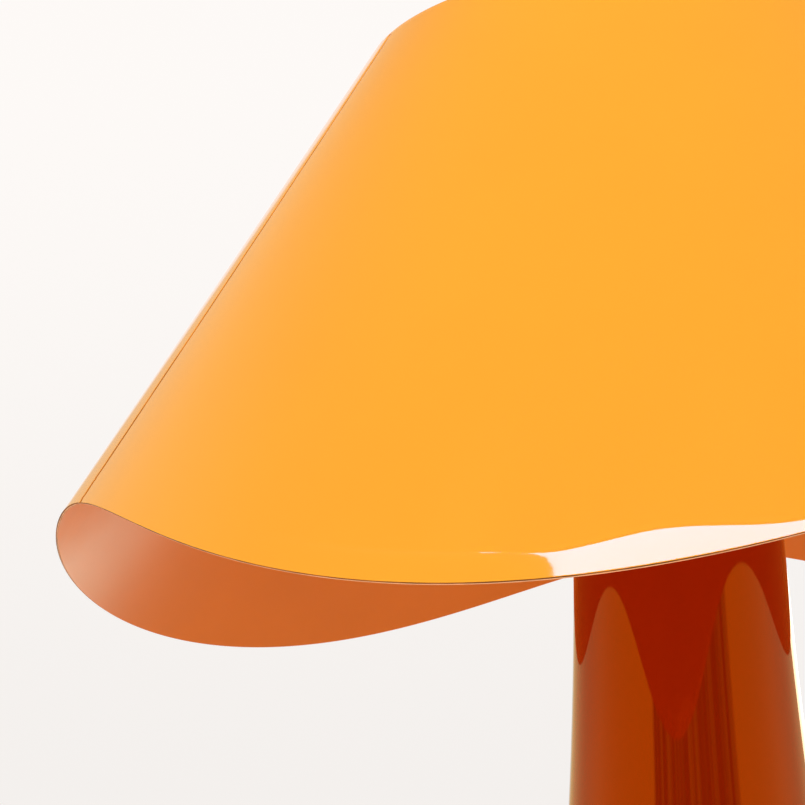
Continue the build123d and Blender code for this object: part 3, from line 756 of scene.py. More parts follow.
@dataclass
class Shade(SubAssembly):
    """The cone shade with its wavy hem, its lid, and the boss under the lid."""

    hem_height: float = 853.0
    hem_radius: float = 299.0
    rise: float = 235.2
    shoulder_radius: float = 137.6
    shoulder_round: float = 2.0
    shoulder_drop: float = 1.8
    wall: float = 1.2
    waves: tuple[Wave, ...] = (
        Wave("Main", 3, 24.9, 22.4, 25.6),
        Wave("Oval", 2, 11.3, -4.2, 73.9),
        Wave("Ripple", 4, 5.3, 3.1, 48.6),
        Wave("Tilt", 1, 9.2, 1.4, 228.9),
        Wave("Flutter", 5, 2.9, 0.4, 48.1),
    )
    curl_tilt: float = 15.0  # how far the curled hem turns out, in degrees
    curl_begins: tuple[float, float] = (236.0, 257.0)  # bearings between which it turns out
    curl_widens: tuple[float, float] = (261.5, 268.6)  # between which it widens
    curl_narrows: tuple[float, float] = (268.5, 278.5)  # between which it narrows
    curl_ends: tuple[float, float] = (282.0, 318.0)  # and between which it turns back
    curl_widths: tuple[float, float, float] = (13.2, 18.3, 5.7)  # before, at its widest, and after
    curl_slack: tuple[float, float] = (258.6, 263.4)  # bearings between which its lower part still hangs straight
    curl_tongue: tuple[float, float] = (254.0, 261.0)  # and between which it thins out to a tongue
    curl_looseness: tuple[float, float] = (0.95, 2.6)  # how loosely these two hang
    curl_dip: float = 95.0  # how far above the curl the side is drawn in
    seam_bearing: float = 206.7
    seam_lean: float = 4.2  # how much further round it is at the lip, in degrees
    seam_depth: float = 0.5
    seam_width: float = 1.5
    seam_half: float = 0.36  # half of the dark line's width, in degrees
    seam_wander: float = 0.012  # how far the line strays, in radians
    columns: int = 480
    hub_radius: float = 18.0
    hub_seat_radius: float = 32.0
    hub_seat_thickness: float = 4.0
    hub_top_radius: float = 46.0
    hub_top_thickness: float = 3.0
    hub_bore: float = 12.05
    hub_bottom: float = 1057.0
    washer_radius: float = 31.0
    washer_thickness: float = 2.0
    lock_height: float = 1072.5
    lock_hole: float = 2.6

    def __post_init__(self) -> None:
        """Works out the side's lean and the levels that follow from it."""
        self.top = self.hem_height + self.rise
        self.lean = atan2(self.hem_radius - self.shoulder_radius, self.rise)
        self.lip_radius = self.shoulder_radius + self.shoulder_drop * tan(self.lean)
        self.lip_height = self.top - self.shoulder_drop

    def build(self) -> None:
        """Makes the skin, the lid, the boss and the seat washer."""
        self.stand_in(self.skin(), "shade", "shade_enamel", "shade_skin")
        self.stand_in(self.lid(), "shade", "shade_enamel", "shade_lid")
        self.stand_in(self.hub(), "shade", "zinc_steel", "shade_hub")
        low, high = self.hub_bottom - self.washer_thickness, self.hub_bottom
        washer = turned("seat_ring", box_profile(self.hub_bore, self.washer_radius, low, high, 0.35), NYLON)
        self.stand_in(washer, "shade_seat", "nylon", "seat_washer")

    def section(self) -> list[tuple[float, float, int]]:
        """The skin's section as a closed loop: place along the skin, depth into it, and part of the face after it.

        Returns:
            The loop. A place goes from 0 at the lip to 1 where the curl starts and 2 at the hem. Parts are 0
            outside, 1 raw edge, 2 inside, 3 the edge's brown lines, and 4 the seam's line.
        """
        lip = [0.0, 0.001, 0.004]
        side = lip + [0.92 * step / 20 for step in range(1, 21)] + [0.92 + 0.0775 * step / 10 for step in range(1, 11)]
        curl = [1.0, 1.02, 1.04, 1.1, 1.2, 1.32, 1.44, 1.56, 1.68, 1.8, 1.88, 1.94, 1.97, 1.985]
        outer = [(along, 0.0, 0) for along in side + curl]
        edge = [
            (1.994, 0.02, 3), (2.0, 0.14, 3), (2.002, 0.3, 3), (2.003, 0.48, 1), (2.002, 0.72, 1), (2.0, 0.87, 3),
            (1.994, 0.98, 2),
        ]
        inner = [(along, 1.0, 2) for along in reversed(lip + side[4::2] + curl)]
        return outer + edge + inner

    def bearings(self) -> list[float]:
        """The bearings of the skin's columns, closer together at the seam.

        Returns:
            Them in order, in radians.
        """
        even = [360.0 * step / self.columns for step in range(self.columns)]
        near = [self.seam_bearing + 0.055 * step for step in range(-24, 25)]
        away = [bearing for bearing in even if abs(bearing - self.seam_bearing) > 1.5]
        return [radians(bearing) for bearing in sorted(away + near)]

    def template(self) -> bpy.types.Object:
        """The skin's net of faces, which the recipe bends into shape.

        Returns:
            The object, with bearing, along and depth on its corners and part on its faces.
        """
        section, bearings = self.section(), self.bearings()
        rows, columns = len(section), len(bearings)
        faces, parts = [], []
        for column in range(columns):
            following = (column + 1) % columns
            middle = (bearings[column] + bearings[following]) / 2
            by_seam = abs(middle - radians(self.seam_bearing)) < radians(self.seam_half)
            here, there = column * rows, following * rows
            for row, (_, _, part) in enumerate(section):
                below = (row + 1) % rows
                faces.append((here + row, here + below, there + below, there + row))
                parts.append(4 if by_seam and part == 0 else part)
        piece = new_piece("shade_sheet", [(0, 0, 0)] * (rows * columns), faces)
        mesh = piece.data
        table = {
            "bearing": [bearing for bearing in bearings for _ in section],
            "along": [row[0] for _ in bearings for row in section],
            "depth": [row[1] for _ in bearings for row in section],
        }
        for label, values in table.items():
            mesh.attributes.new(label, "FLOAT", "POINT").data.foreach_set("value", values)
        mesh.attributes.new("part", "INT", "FACE").data.foreach_set("value", parts)
        return piece

    def skin(self) -> bpy.types.Object:
        """The rolled skin, bent by a recipe that follows the hem's waves.

        Returns:
            The finished object.
        """
        recipe = Recipe("shade_skin_rule")
        write = recipe.write
        bearing, along, depth = (recipe.attribute(name) for name in ("bearing", "along", "depth"))
        from_seam = bearing - recipe.size("Seam Bearing", radians(self.seam_bearing))
        bearing = bearing + self.wander(recipe, from_seam, along)
        hem_radius = recipe.size("Hem Radius", self.hem_radius * MM)
        hem_height = recipe.size("Hem Height", self.hem_height * MM)
        lip_radius = recipe.size("Lip Radius", self.lip_radius * MM)
        lip_height = recipe.size("Lip Height", self.lip_height * MM)
        wall = recipe.size("Sheet Thickness", self.wall * MM)
        for wave in self.waves:
            count = recipe.size(f"{wave.label} Waves", float(wave.count))
            crest = recipe.size(f"{wave.label} Bearing", radians(wave.crest))
            swing = write.maths("COSINE", (bearing - crest) * count)
            hem_radius = hem_radius + recipe.size(f"{wave.label} Flare", wave.flare * MM) * swing
            hem_height = hem_height - recipe.size(f"{wave.label} Drop", wave.drop * MM) * swing
        run, fall = hem_radius - lip_radius, lip_height - hem_height
        length = write.maths("SQRT", run * run + fall * fall)
        width, strength = self.curl_size(recipe, bearing)
        on_curl = write.maths("MAXIMUM", along - 1.0, 0.0)
        from_hem = width * (1.0 - on_curl) + (length - width) * (1.0 - (along - on_curl))
        along = 1.0 - from_hem / length
        radius, height = lip_radius + run * along, lip_height - fall * along
        push = self.curl(recipe, width, strength, from_hem, bearing)
        push = push - self.seam(recipe, from_seam * radius) * (1.0 - 1.5 * depth)
        push = push - wall * depth
        radius = radius + push * cos(self.lean)
        height = height + push * sin(self.lean)
        across, ahead = radius * write.maths("COSINE", bearing), radius * write.maths("SINE", bearing)
        place = write.add("ShaderNodeCombineXYZ", {"X": across, "Y": ahead, "Z": height})
        moved = {"Geometry": recipe.source.outputs[0], "Position": place.outputs[0]}
        shape = write.add("GeometryNodeSetPosition", moved)
        part = recipe.attribute("part", "INT")
        coats = []
        finishes = {
            "Outside": SHADE_ENAMEL, "Raw Edge": SHEET_EDGE, "Inside": SHADE_INSIDE, "Edge Line": EDGE_LINE,
            "Seam Line": SEAM_LINE,
        }
        for number, (label, finish) in enumerate(finishes.items()):
            chosen = write.add("FunctionNodeCompare", data_type="INT", operation="EQUAL")
            write.feed(chosen.inputs[2], part)
            chosen.inputs[3].default_value = number
            coats.append((recipe.material(finish, label), chosen.outputs[0]))
        recipe.close(shape.outputs[0], coats)
        skin = recipe.run(self.template())
        face_outwards(skin)
        return skin

    def curl_size(self, recipe: Recipe, bearing: Term) -> tuple[Term, Term]:
        """The width of the curl at the hem, and how much of its tilt it has, by bearing.

        Args:
            recipe: the skin's recipe.
            bearing: the bearing, in radians.

        Returns:
            The width in metres and the strength from 0 to 1.
        """
        write = recipe.write
        before, widest, after = (
            recipe.size(f"Curl Width {label}", width * MM)
            for label, width in zip(("Before", "Widest", "After"), self.curl_widths)
        )
        widens, narrows, begins, ends = (
            write.ramp(bearing, radians(span[0]), radians(span[1]))
            for span in (self.curl_widens, self.curl_narrows, self.curl_begins, self.curl_ends)
        )
        width = before + (widest - before) * widens + (after - widest) * narrows + (before - after) * ends
        return width, begins * (1.0 - ends)

    def curl(self, recipe: Recipe, width: Term, strength: Term, from_hem: Term, bearing: Term) -> Term:
        """How far the skin stands out where its hem is curled, at the front right.

        Args:
            recipe: the skin's recipe.
            width: the curl's width.
            strength: how much of its tilt it has.
            from_hem: the way along the skin to the hem.
            bearing: the bearing, in radians.

        Returns:
            The push along the skin's normal, in metres. It is 0 at the hem.
        """
        write = recipe.write
        tilt = recipe.size("Curl Tilt", tan(radians(self.curl_tilt)))
        reach = recipe.size("Curl Dip", self.curl_dip * MM)
        slack, tongue = (
            write.ramp(bearing, radians(span[0]), radians(span[1]), loose, 0.0)
            for span, loose in zip((self.curl_slack, self.curl_tongue), self.curl_looseness)
        )
        slack = slack + tongue
        rounded_width = width / write.maths("MAXIMUM", slack, 1.0)
        stands = write.maths("MINIMUM", write.maths("MAXIMUM", width - from_hem, 0.0), rounded_width)
        rounded = stands * (1.0 - slack * 0.5 * stands / width)
        whole = rounded_width * (1.0 - slack * 0.5 * rounded_width / width)
        drawn_in = write.ramp((from_hem - width) / reach, 0.0, 1.0, 1.0, 0.0)
        return tilt * strength * (rounded - whole * drawn_in)

    def wander(self, recipe: Recipe, from_seam: Term, along: Term) -> Term:
        """How far the seam strays from its bearing, which the skin's columns near it follow.

        Args:
            recipe: the skin's recipe.
            from_seam: the bearing from the seam's middle, in radians.
            along: the share along the skin.

        Returns:
            The shift, in radians.
        """
        write = recipe.write
        stray = recipe.size("Seam Wander", self.seam_wander)
        line = write.add("ShaderNodeTexNoise", {"W": along * 7.0, "Scale": 1.0, "Detail": 2.0}, noise_dimensions="1D")
        lean = recipe.size("Seam Lean", radians(self.seam_lean)) * (1.0 - write.maths("MINIMUM", along, 1.0))
        near = from_seam / 0.3
        return ((write.term(line) - 0.5) * stray + lean) * write.maths("EXPONENT", near * near * -1.0)

    def seam(self, recipe: Recipe, offset: Term) -> Term:
        """The depth of the groove where the rolled sheet's ends meet.

        Args:
            recipe: the skin's recipe.
            offset: the way round the skin to the seam's middle, in metres.

        Returns:
            The depth, in metres.
        """
        write = recipe.write
        deep = recipe.size("Seam Depth", self.seam_depth * MM)
        spread = offset / recipe.size("Seam Width", self.seam_width * MM)
        return deep * write.maths("EXPONENT", spread * spread * -1.0)

    def lid(self) -> bpy.types.Object:
        """The flat lid with its rolled lip.

        Returns:
            The finished object.
        """
        turn = pi / 2 - self.lean
        flat = self.shoulder_radius - self.shoulder_round * tan(turn / 2)
        bend_height = self.top - self.shoulder_round
        outer, inner = (
            [
                Corner(flat + bend * sin(turn * step / 12), bend_height + bend * cos(turn * step / 12), 0)
                for step in range(13)
            ]
            for bend in (self.shoulder_round, self.shoulder_round - self.wall)
        )
        tip = Corner(self.lip_radius, self.lip_height, 0.3)
        back = Corner(self.lip_radius - self.wall * cos(self.lean), self.lip_height - self.wall * sin(self.lean), 0.3)
        corners = [Corner(0, self.top, 0), Corner(flat - 3, self.top, 0), *outer, tip, back, *reversed(inner)]
        corners += [Corner(flat - 3, self.top - self.wall, 0), Corner(0, self.top - self.wall, 0)]
        middle = self.top - self.wall / 2

        def under(radius: float, height: float) -> bool:
            """Whether a face is on the lid's underside."""
            gone = min(max(0.0, radius - flat), self.shoulder_round)
            return height < middle - (self.shoulder_round - sqrt(self.shoulder_round**2 - gone**2)) - 0.05

        return turned("shade_top", corners, SHADE_ENAMEL, segments=180, inside=(SHADE_INSIDE, under))

    def hub(self) -> bpy.types.Object:
        """The boss that the hand screw goes through.

        Returns:
            The finished object.
        """
        low, high = self.hub_bottom, self.top - self.wall
        neck = high - self.hub_top_thickness
        corners = [
            Corner(self.hub_bore, low, 0.4),
            Corner(self.hub_seat_radius, low, 0.5),
            Corner(self.hub_seat_radius, low + self.hub_seat_thickness, 0.5),
            Corner(self.hub_radius, low + self.hub_seat_thickness, 1.0),
            Corner(self.hub_radius, neck, 1.0),
            Corner(self.hub_top_radius, neck, 0.5),
            Corner(self.hub_top_radius, high, 0.2),
            Corner(self.hub_bore, high, 0.2),
        ]
        hub = turned("shade_boss", corners, ZINC)
        bored(hub, Vector((0, -0.011, self.lock_height * MM)), Vector((0, -1, 0)), self.lock_hole * MM, 12 * MM)
        return hub


@dataclass
class Stem(SubAssembly):
    """The flared stem, its top plate and the cable inlet."""

    height: float = 880.0
    top_radius: float = 47.7
    top_lean: float = 1.19
    foot_lean: float = 5.7
    sweep_radius: float = 2270.0
    wall: float = 1.5
    bottom: float = 2.5
    inlet_height: float = 52.0
    inlet_hole: float = 6.3

    def radius(self, height: float, inset: float = 0.0) -> float:
        """The stem's outer radius at a height, less a skin of thickness inset.

        Args:
            height: above the floor.
            inset: measured square to the skin.

        Returns:
            The radius.
        """
        start, end = sin(radians(self.top_lean)), sin(radians(self.foot_lean))
        lean = asin(min(start + (self.height - height) / self.sweep_radius, end))
        radius = self.top_radius + self.sweep_radius * (cos(radians(self.top_lean)) - cos(lean))
        swept = self.sweep_radius * (sin(lean) - start)
        return radius + (self.height - height - swept) * tan(lean) - inset / cos(lean)

    def build(self) -> None:
        """Makes the skin and finishes the plate, the earth screw and the inlet."""
        levels = [self.bottom + (self.height - self.bottom) * step / 60 for step in range(61)]
        eases = [0.3] + [0.0] * (len(levels) - 2) + [0.3]
        outer, inner = (
            [Corner(self.radius(level, inset), level, ease) for level, ease in zip(levels, eases)]
            for inset in (0.0, self.wall)
        )
        skin = turned("stem_tube", outer + inner[::-1], STEM_ENAMEL, segments=192)
        start = Vector((0, (self.radius(self.inlet_height) - 8) * MM, self.inlet_height * MM))
        bored(skin, start, Vector((0, 1, 0)), self.inlet_hole * MM, 16 * MM)
        self.stand_in(skin, "stand", "stem_enamel", "stem_body")
        self.keep(STEM_ENAMEL, "stem_top_plate")
        self.keep(BRASS, "earth_screw")
        self.keep(INLET_PLASTIC, "cable_inlet", "cable_inlet_nut")
        self.keep(ZINC, "threaded_pipe", "pipe_washer", "pipe_nut")


@dataclass
class Foot(SubAssembly):
    """The weighted foot: plate, flange, weight, rubber ring and screws."""

    ring_width: float = 16.0
    plate_bottom: float = 3.0
    plate_thickness: float = 4.0
    plate_screws: int = 6
    plate_screw_radius: float = 2.5
    plate_screw_inset: float = 8.0
    plate_screw_depth: float = 5.0
    weight_screws: int = 3
    weight_screw_radius: float = 3.0
    weight_screw_circle: float = 60.0
    weight_screw_depth: float = 11.7

    def build(self) -> None:
        """Makes the ring and the screws, and finishes the plates and the weight."""
        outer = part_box("foot_ring")[1].x / MM
        inner, high = outer - self.ring_width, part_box("foot_ring")[1].z / MM
        corners = [Corner(inner, high, 0.3), Corner(inner, 0.0, 0.7)]
        for groove in (0.28, 0.5, 0.72):
            middle = inner + groove * self.ring_width
            corners += [
                Corner(middle - 1.2, 0.0, 0.2), Corner(middle - 0.7, 0.8, 0.2),
                Corner(middle + 0.7, 0.8, 0.2), Corner(middle + 1.2, 0.0, 0.2),
            ]
        corners += [Corner(outer, 0.0, 0.7), Corner(outer, high, 0.3)]
        ring = turned("rubber_foot", corners, RUBBER, segments=144)
        self.stand_in(ring, "stand", "foot_rubber", "foot_ring")
        self.keep(BLACK_STEEL, "base_plate", "foot_flange")
        self.keep(CAST_IRON, "base_weight")
        circle = Stem().radius(self.plate_bottom, Stem.wall) - self.plate_screw_inset
        of_plate = (self.plate_screws, self.plate_screw_radius, self.plate_screw_depth, circle)
        of_weight = (self.weight_screws, self.weight_screw_radius, self.weight_screw_depth, self.weight_screw_circle)
        for name, (count, radius, depth, at) in (("base_plate_screws", of_plate), ("weight_screws", of_weight)):
            length = self.plate_thickness + depth
            screw = countersunk_screw(f"{name}_set", radius, self.plate_bottom, length)
            self.stand_in(ring_of(screw, ZINC, count, at, 0.0, f"{name}_ring"), "stand", "zinc_steel", name)


def countersunk_screw(name: str, radius: float, low: float, length: float) -> bpy.types.Object:
    """A flat-headed screw on the lamp's axis, with its head's face down and a hexagon socket in it.

    Args:
        name: the object's name.
        radius: of its shank.
        low: the height of its head's face.
        length: overall.

    Returns:
        The object.
    """
    corners = [
        Corner(0, low + 0.6 * radius, 0),
        Corner(0.6 * radius, low + 0.6 * radius, 0, Form.HEX),
        Corner(0.6 * radius, low + 0.05, 0, Form.HEX),
        Corner(1.9 * radius, low, 0.12),
        Corner(2.0 * radius, low + 0.15, 0.1),
        Corner(radius, low + radius, 0.2),
        Corner(radius, low + length - 0.5, 0.1),
        Corner(0.6 * radius, low + length, 0.1),
        Corner(0, low + length, 0),
    ]
    return turned(name, corners, ZINC, segments=36)


@dataclass
class Cage(SubAssembly):
    """The three-rod cage on the stem's top, with the post that the shade turns on."""

    base: float = 880.0
    plate: float = 3.0
    plate_radius: float = 47.7
    rods: int = 3
    rod_radius: float = 3.5
    rod_circle: float = 42.0
    rod_bearing: float = 90.0
    top: float = 1055.0
    post_radius: float = 12.0
    post_length: float = 27.0
    screw_radius: float = 2.0
    screw_head: float = 2.4
    screw_depth: float = 9.7
    pipe_hole: float = 5.1

    def build(self) -> None:
        """Makes the plates, rods, screws and post."""
        low, high = self.base + self.plate, self.top - self.plate
        lower = box_profile(self.pipe_hole, self.plate_radius, self.base, low, 0.75)
        lower = turned("cage_foot_plate", lower, STEM_ENAMEL)
        self.stand_in(lower, "stand", "stem_enamel", "cage_base_plate")
        upper = turned("cage_head_plate", box_profile(0, self.plate_radius, high, self.top, 0.75), ZINC)
        self.stand_in(upper, "stand", "zinc_steel", "cage_top_plate")
        rod = turned(
            "cage_rods",
            [
                Corner(0, low, 0), Corner(self.rod_radius - 0.6, low, 0.1), Corner(self.rod_radius, low + 0.6, 0.2),
                Corner(self.rod_radius, high - 0.6, 0.2), Corner(self.rod_radius - 0.6, high, 0.1), Corner(0, high, 0),
            ],
            ZINC,
            segments=48,
        )
        rods = ring_of(rod, ZINC, self.rods, self.rod_circle, self.rod_bearing, "cage_rods_ring")
        self.stand_in(rods, "stand", "zinc_steel", "cage_rod_1", "cage_rod_2", "cage_rod_3")
        screw = countersunk_screw("cage_foot_screws", self.screw_radius, self.base, self.plate + self.screw_depth)
        screws = ring_of(screw, ZINC, self.rods, self.rod_circle, self.rod_bearing, "cage_foot_screws_ring")
        self.stand_in(screws, "stand", "zinc_steel", "cage_lower_screws")
        self.stand_in(self.button_screws(), "stand", "zinc_steel", "cage_upper_screws")
        post = turned(
            "cage_spigot",
            [
                Corner(0, self.top, 0), Corner(self.post_radius, self.top, 0.2),
                Corner(self.post_radius, self.top + self.post_length - 1.0, 0.2),
                Corner(self.post_radius - 1.0, self.top + self.post_length, 0.2),
                Corner(0, self.top + self.post_length, 0),
            ],
            ZINC,
        )
        self.stand_in(post, "stand", "zinc_steel", "cage_post")
        self.keep(ZINC, "cage_post_screw")

    def button_screws(self) -> bpy.types.Object:
        """The three button-headed screws on the top plate.

        Returns:
            The finished object.
        """
        radius, high = self.screw_radius, self.top + self.screw_head
        low = self.top - self.plate - self.screw_depth
        corners = [
            Corner(0, low, 0),
            Corner(radius, low, 0.3),
            Corner(radius, self.top, 0.1),
            Corner(2.0 * radius, self.top, 0.15),
            Corner(1.85 * radius, self.top + 0.5 * self.screw_head, 0.8),
            Corner(1.3 * radius, high, 0.6),
            Corner(0.62 * radius, high, 0, Form.HEX),
            Corner(0.6 * radius, high - 0.6 * radius, 0, Form.HEX),
            Corner(0, high - 0.6 * radius, 0),
        ]
        screw = turned("cage_head_screws", corners, ZINC, segments=36)
        return ring_of(screw, ZINC, self.rods, self.rod_circle, self.rod_bearing, "cage_head_screws_ring")


@dataclass
class HandScrew(SubAssembly):
    """The hand screw that locks the shade to the post."""

    height: float = 1072.5
    shank_start: float = 12.3
    shank_radius: float = 2.5
    thread_depth: float = 0.25
    thread_pitch: float = 0.8
    knob_start: float = 36.0
    knob_thickness: float = 14.0
    knob_radius: float = 8.0
    collar_radius: float = 4.6  # of the knob's collar, next to the boss

    def build(self) -> None:
        """Makes the threaded shank and the fluted knob."""
        place = axis_place((0, 0, self.height), (0, -1, 0))
        start, radius, end = self.shank_start, self.shank_radius, self.knob_start
        core = radius - self.thread_depth
        shank = turned(
            "lock_shank_rod",
            [
                Corner(0, start, 0), Corner(radius - 0.7, start, 0.2), Corner(core, start + 1.2, 0.2),
                Corner(core, end, 0.1), Corner(0, end, 0),
            ],
            BRASS, place, 36,
        )
        thread_on(shank, BRASS, radius - 0.28, start + 1.5, end - 1.0, self.thread_pitch, 0.26, place)
        self.stand_in(shank, "lock_shank", "brass", "lock_screw")
        low, high = self.knob_start, self.knob_start + self.knob_thickness
        floor, rim = high - 0.4, self.knob_radius
        knob = turned(
            "lock_thumb_knob",
            [
                Corner(2.7, low + 0.4, 0), Corner(2.7, low, 0.1),
                Corner(self.collar_radius, low, 0.3), Corner(self.collar_radius, low + 2.0, 0.4),
                Corner(rim - 0.8, low + 2.0, 0.3, Form.FLUTED), Corner(rim, low + 2.9, 0.5, Form.FLUTED),
                Corner(rim, high - 1.4, 0.6, Form.FLUTED), Corner(rim - 1.2, high, 0.6, Form.FLUTED),
                Corner(3.6, high, 0.3), Corner(3.2, floor, 0.3), Corner(0, floor, 0), Corner(0, low + 0.4, 0),
            ],
            BRASS, place, 144,
        )
        self.stand_in(knob, "lock_handle", "brass", "lock_knob")


@dataclass
class Lampholder(SubAssembly):
    """The lampholder with its ceramic insert, threaded shell, switch block and key."""

    bottom: float = 883.0
    radius: float = 20.0
    wall: float = 1.4
    cap_height: float = 26.0
    sleeve_height: float = 30.0
    neck_radius: float = 8.5
    neck_height: float = 7.0
    lip_radius: float = 16.0
    pipe_hole: float = 5.1
    grub_hole: float = 1.6
    cap_floor: float = 2.8
    insert_sink: float = 2.8  # how far the insert reaches down into the cap
    insert_floor: float = 4.2  # from the cap's edge up to the floor of the insert's well
    insert_radius: float = 18.3
    insert_bore: float = 14.7
    shell_rise: float = 5.0
    shell_wall: float = 0.5
    socket_radius: float = 13.3
    socket_depth: float = 22.0
    spindle_rise: float = 5.0  # from the cap's floor to the spindle's axis
    spindle_reach: float = 52.0
    spindle_radius: float = 2.0
    spindle_hole: float = 2.05
    key_reach: float = 60.0
    key_length: float = 16.0
    key_height: float = 13.0
    key_thickness: float = 4.0

    def build(self) -> None:
        """Makes the holder's pieces from the neck up, and the switch."""
        cap_top = self.bottom + self.cap_height
        shoulder = self.bottom + self.neck_height
        floor = shoulder + self.cap_floor
        wide, narrow = self.radius, self.radius - self.wall
        cap = turned(
            "holder_lower_cap",
            [
                Corner(self.pipe_hole, self.bottom, 0.3), Corner(self.neck_radius, self.bottom, 0.5),
                Corner(self.neck_radius, shoulder, 0.8), Corner(wide, shoulder, 2.6),
                Corner(wide, cap_top - 0.1, 0.5), Corner(narrow, cap_top - 0.1, 0.3),
                Corner(narrow, floor, 0.3), Corner(self.pipe_hole, floor, 0.3),
            ],
            PHENOLIC,
        )
        spindle_height = floor + self.spindle_rise
        bored(cap, Vector((0, -0.017, spindle_height * MM)), Vector((0, -1, 0)), self.spindle_hole * MM, 6 * MM)
        grub_place = Vector((0.004, 0, (self.bottom + self.neck_height / 2) * MM))
        bored(cap, grub_place, Vector((1, 0, 0)), self.grub_hole * MM, 8 * MM)
        self.stand_in(cap, "stand", "holder_plastic", "holder_cap")
        self.stand_in(self.sleeve(cap_top), "stand", "holder_plastic", "holder_sleeve")
        low, high = cap_top - self.insert_sink, cap_top + self.sleeve_height - self.wall - 0.3
        well = cap_top + self.insert_floor
        insert = turned(
            "holder_ceramic",
            [
                Corner(0, low, 0), Corner(self.insert_radius, low, 0.3), Corner(self.insert_radius, high, 0.6),
                Corner(self.insert_bore, high, 0.6), Corner(self.insert_bore, well, 0.6), Corner(0, well, 0),
            ],
            STEATITE,
        )
        self.stand_in(insert, "stand", "ceramic_insert", "holder_insert")
        low, inner = cap_top + self.shell_rise, self.socket_radius
        shell = box_profile(inner, inner + self.shell_wall, low, low + self.socket_depth, 0.15)
        self.stand_in(turned("holder_thread_shell", shell, BRASS), "stand", "brass", "holder_screw_shell")
        self.keep(BRASS, "holder_centre_contact")
        self.keep(ZINC, "holder_grub_screw")
        self.keep(PHENOLIC, "switch_block")
        place = axis_place((0, 0, spindle_height), (0, -1, 0))
        spindle = box_profile(0, self.spindle_radius, 0.3, self.spindle_reach, 0.4)
        spindle = turned("switch_rod", spindle, ZINC, place, 36)
        self.stand_in(spindle, "switch", "zinc_steel", "switch_spindle")
        self.stand_in(self.key(spindle_height), "switch", "holder_plastic", "switch_key")

    def sleeve(self, low: float) -> bpy.types.Object:
        """The sleeve with its grip ribs and turned-in lip.

        Args:
            low: the height of its lower edge.

        Returns:
            The finished object.
        """
        high, wide, narrow = low + self.sleeve_height, self.radius, self.radius - self.wall
        corners = [Corner(narrow, low, 0.2), Corner(wide, low, 0.4)]
        for level in (low + 6.0, low + 11.0, low + 16.0):
            corners += [
                Corner(wide, level, 0.3), Corner(wide - 0.5, level + 0.6, 0.3),
                Corner(wide - 0.5, level + 1.6, 0.3), Corner(wide, level + 2.2, 0.3),
            ]
        corners += [
            Corner(wide, high, 1.4), Corner(self.lip_radius, high, 0.5),
            Corner(self.lip_radius, high - self.wall, 0.2), Corner(narrow, high - self.wall, 0.2),
        ]
        return turned("holder_outer_sleeve", corners, PHENOLIC)

    def key(self, height: float) -> bpy.types.Object:
        """The switch key: a round boss that flattens into a paddle.

        Args:
            height: of the spindle's axis.

        Returns:
            The finished object.
        """
        start = self.key_reach - self.key_length
        thick, tall = self.key_thickness / 2, self.key_height / 2
        boss, sides = self.spindle_radius + thick, 40
        stations = [
            (start, boss - 0.4, boss - 0.4), (start + 0.4, boss, boss), (start + 3.6, boss, boss),
            (start + 5.6, boss - 0.9, boss + 1.2), (start + 8.0, thick, tall - 0.8),
            (start + 10.5, thick - 0.3, tall), (start + 14.6, thick - 0.1, tall),
            (start + 15.7, thick - 0.5, tall - 0.5), (start + 16.0, thick - 1.1, tall - 1.4),
        ]
        points, faces = [], []
        for reach, across, up in stations:
            square = 2 / (2.0 if reach < start + 4 else 3.4)
            for step in range(sides):
                turn = tau * step / sides
                x = across * abs(cos(turn)) ** square * (1 if cos(turn) >= 0 else -1)
                z = up * abs(sin(turn)) ** square * (1 if sin(turn) >= 0 else -1)
                points.append(Vector((x, -reach, height + z)) * MM)
        last = (len(stations) - 1) * sides
        for here in range(0, last, sides):
            there = here + sides
            for step in range(sides):
                after = (step + 1) % sides
                faces.append((here + step, here + after, there + after, there + step))
        faces += [tuple(range(sides)), tuple(range(last, last + sides))]
        key = new_piece("switch_paddle", points, faces)
        key.data.materials.append(PHENOLIC.material())
        face_outwards(key)
        return key


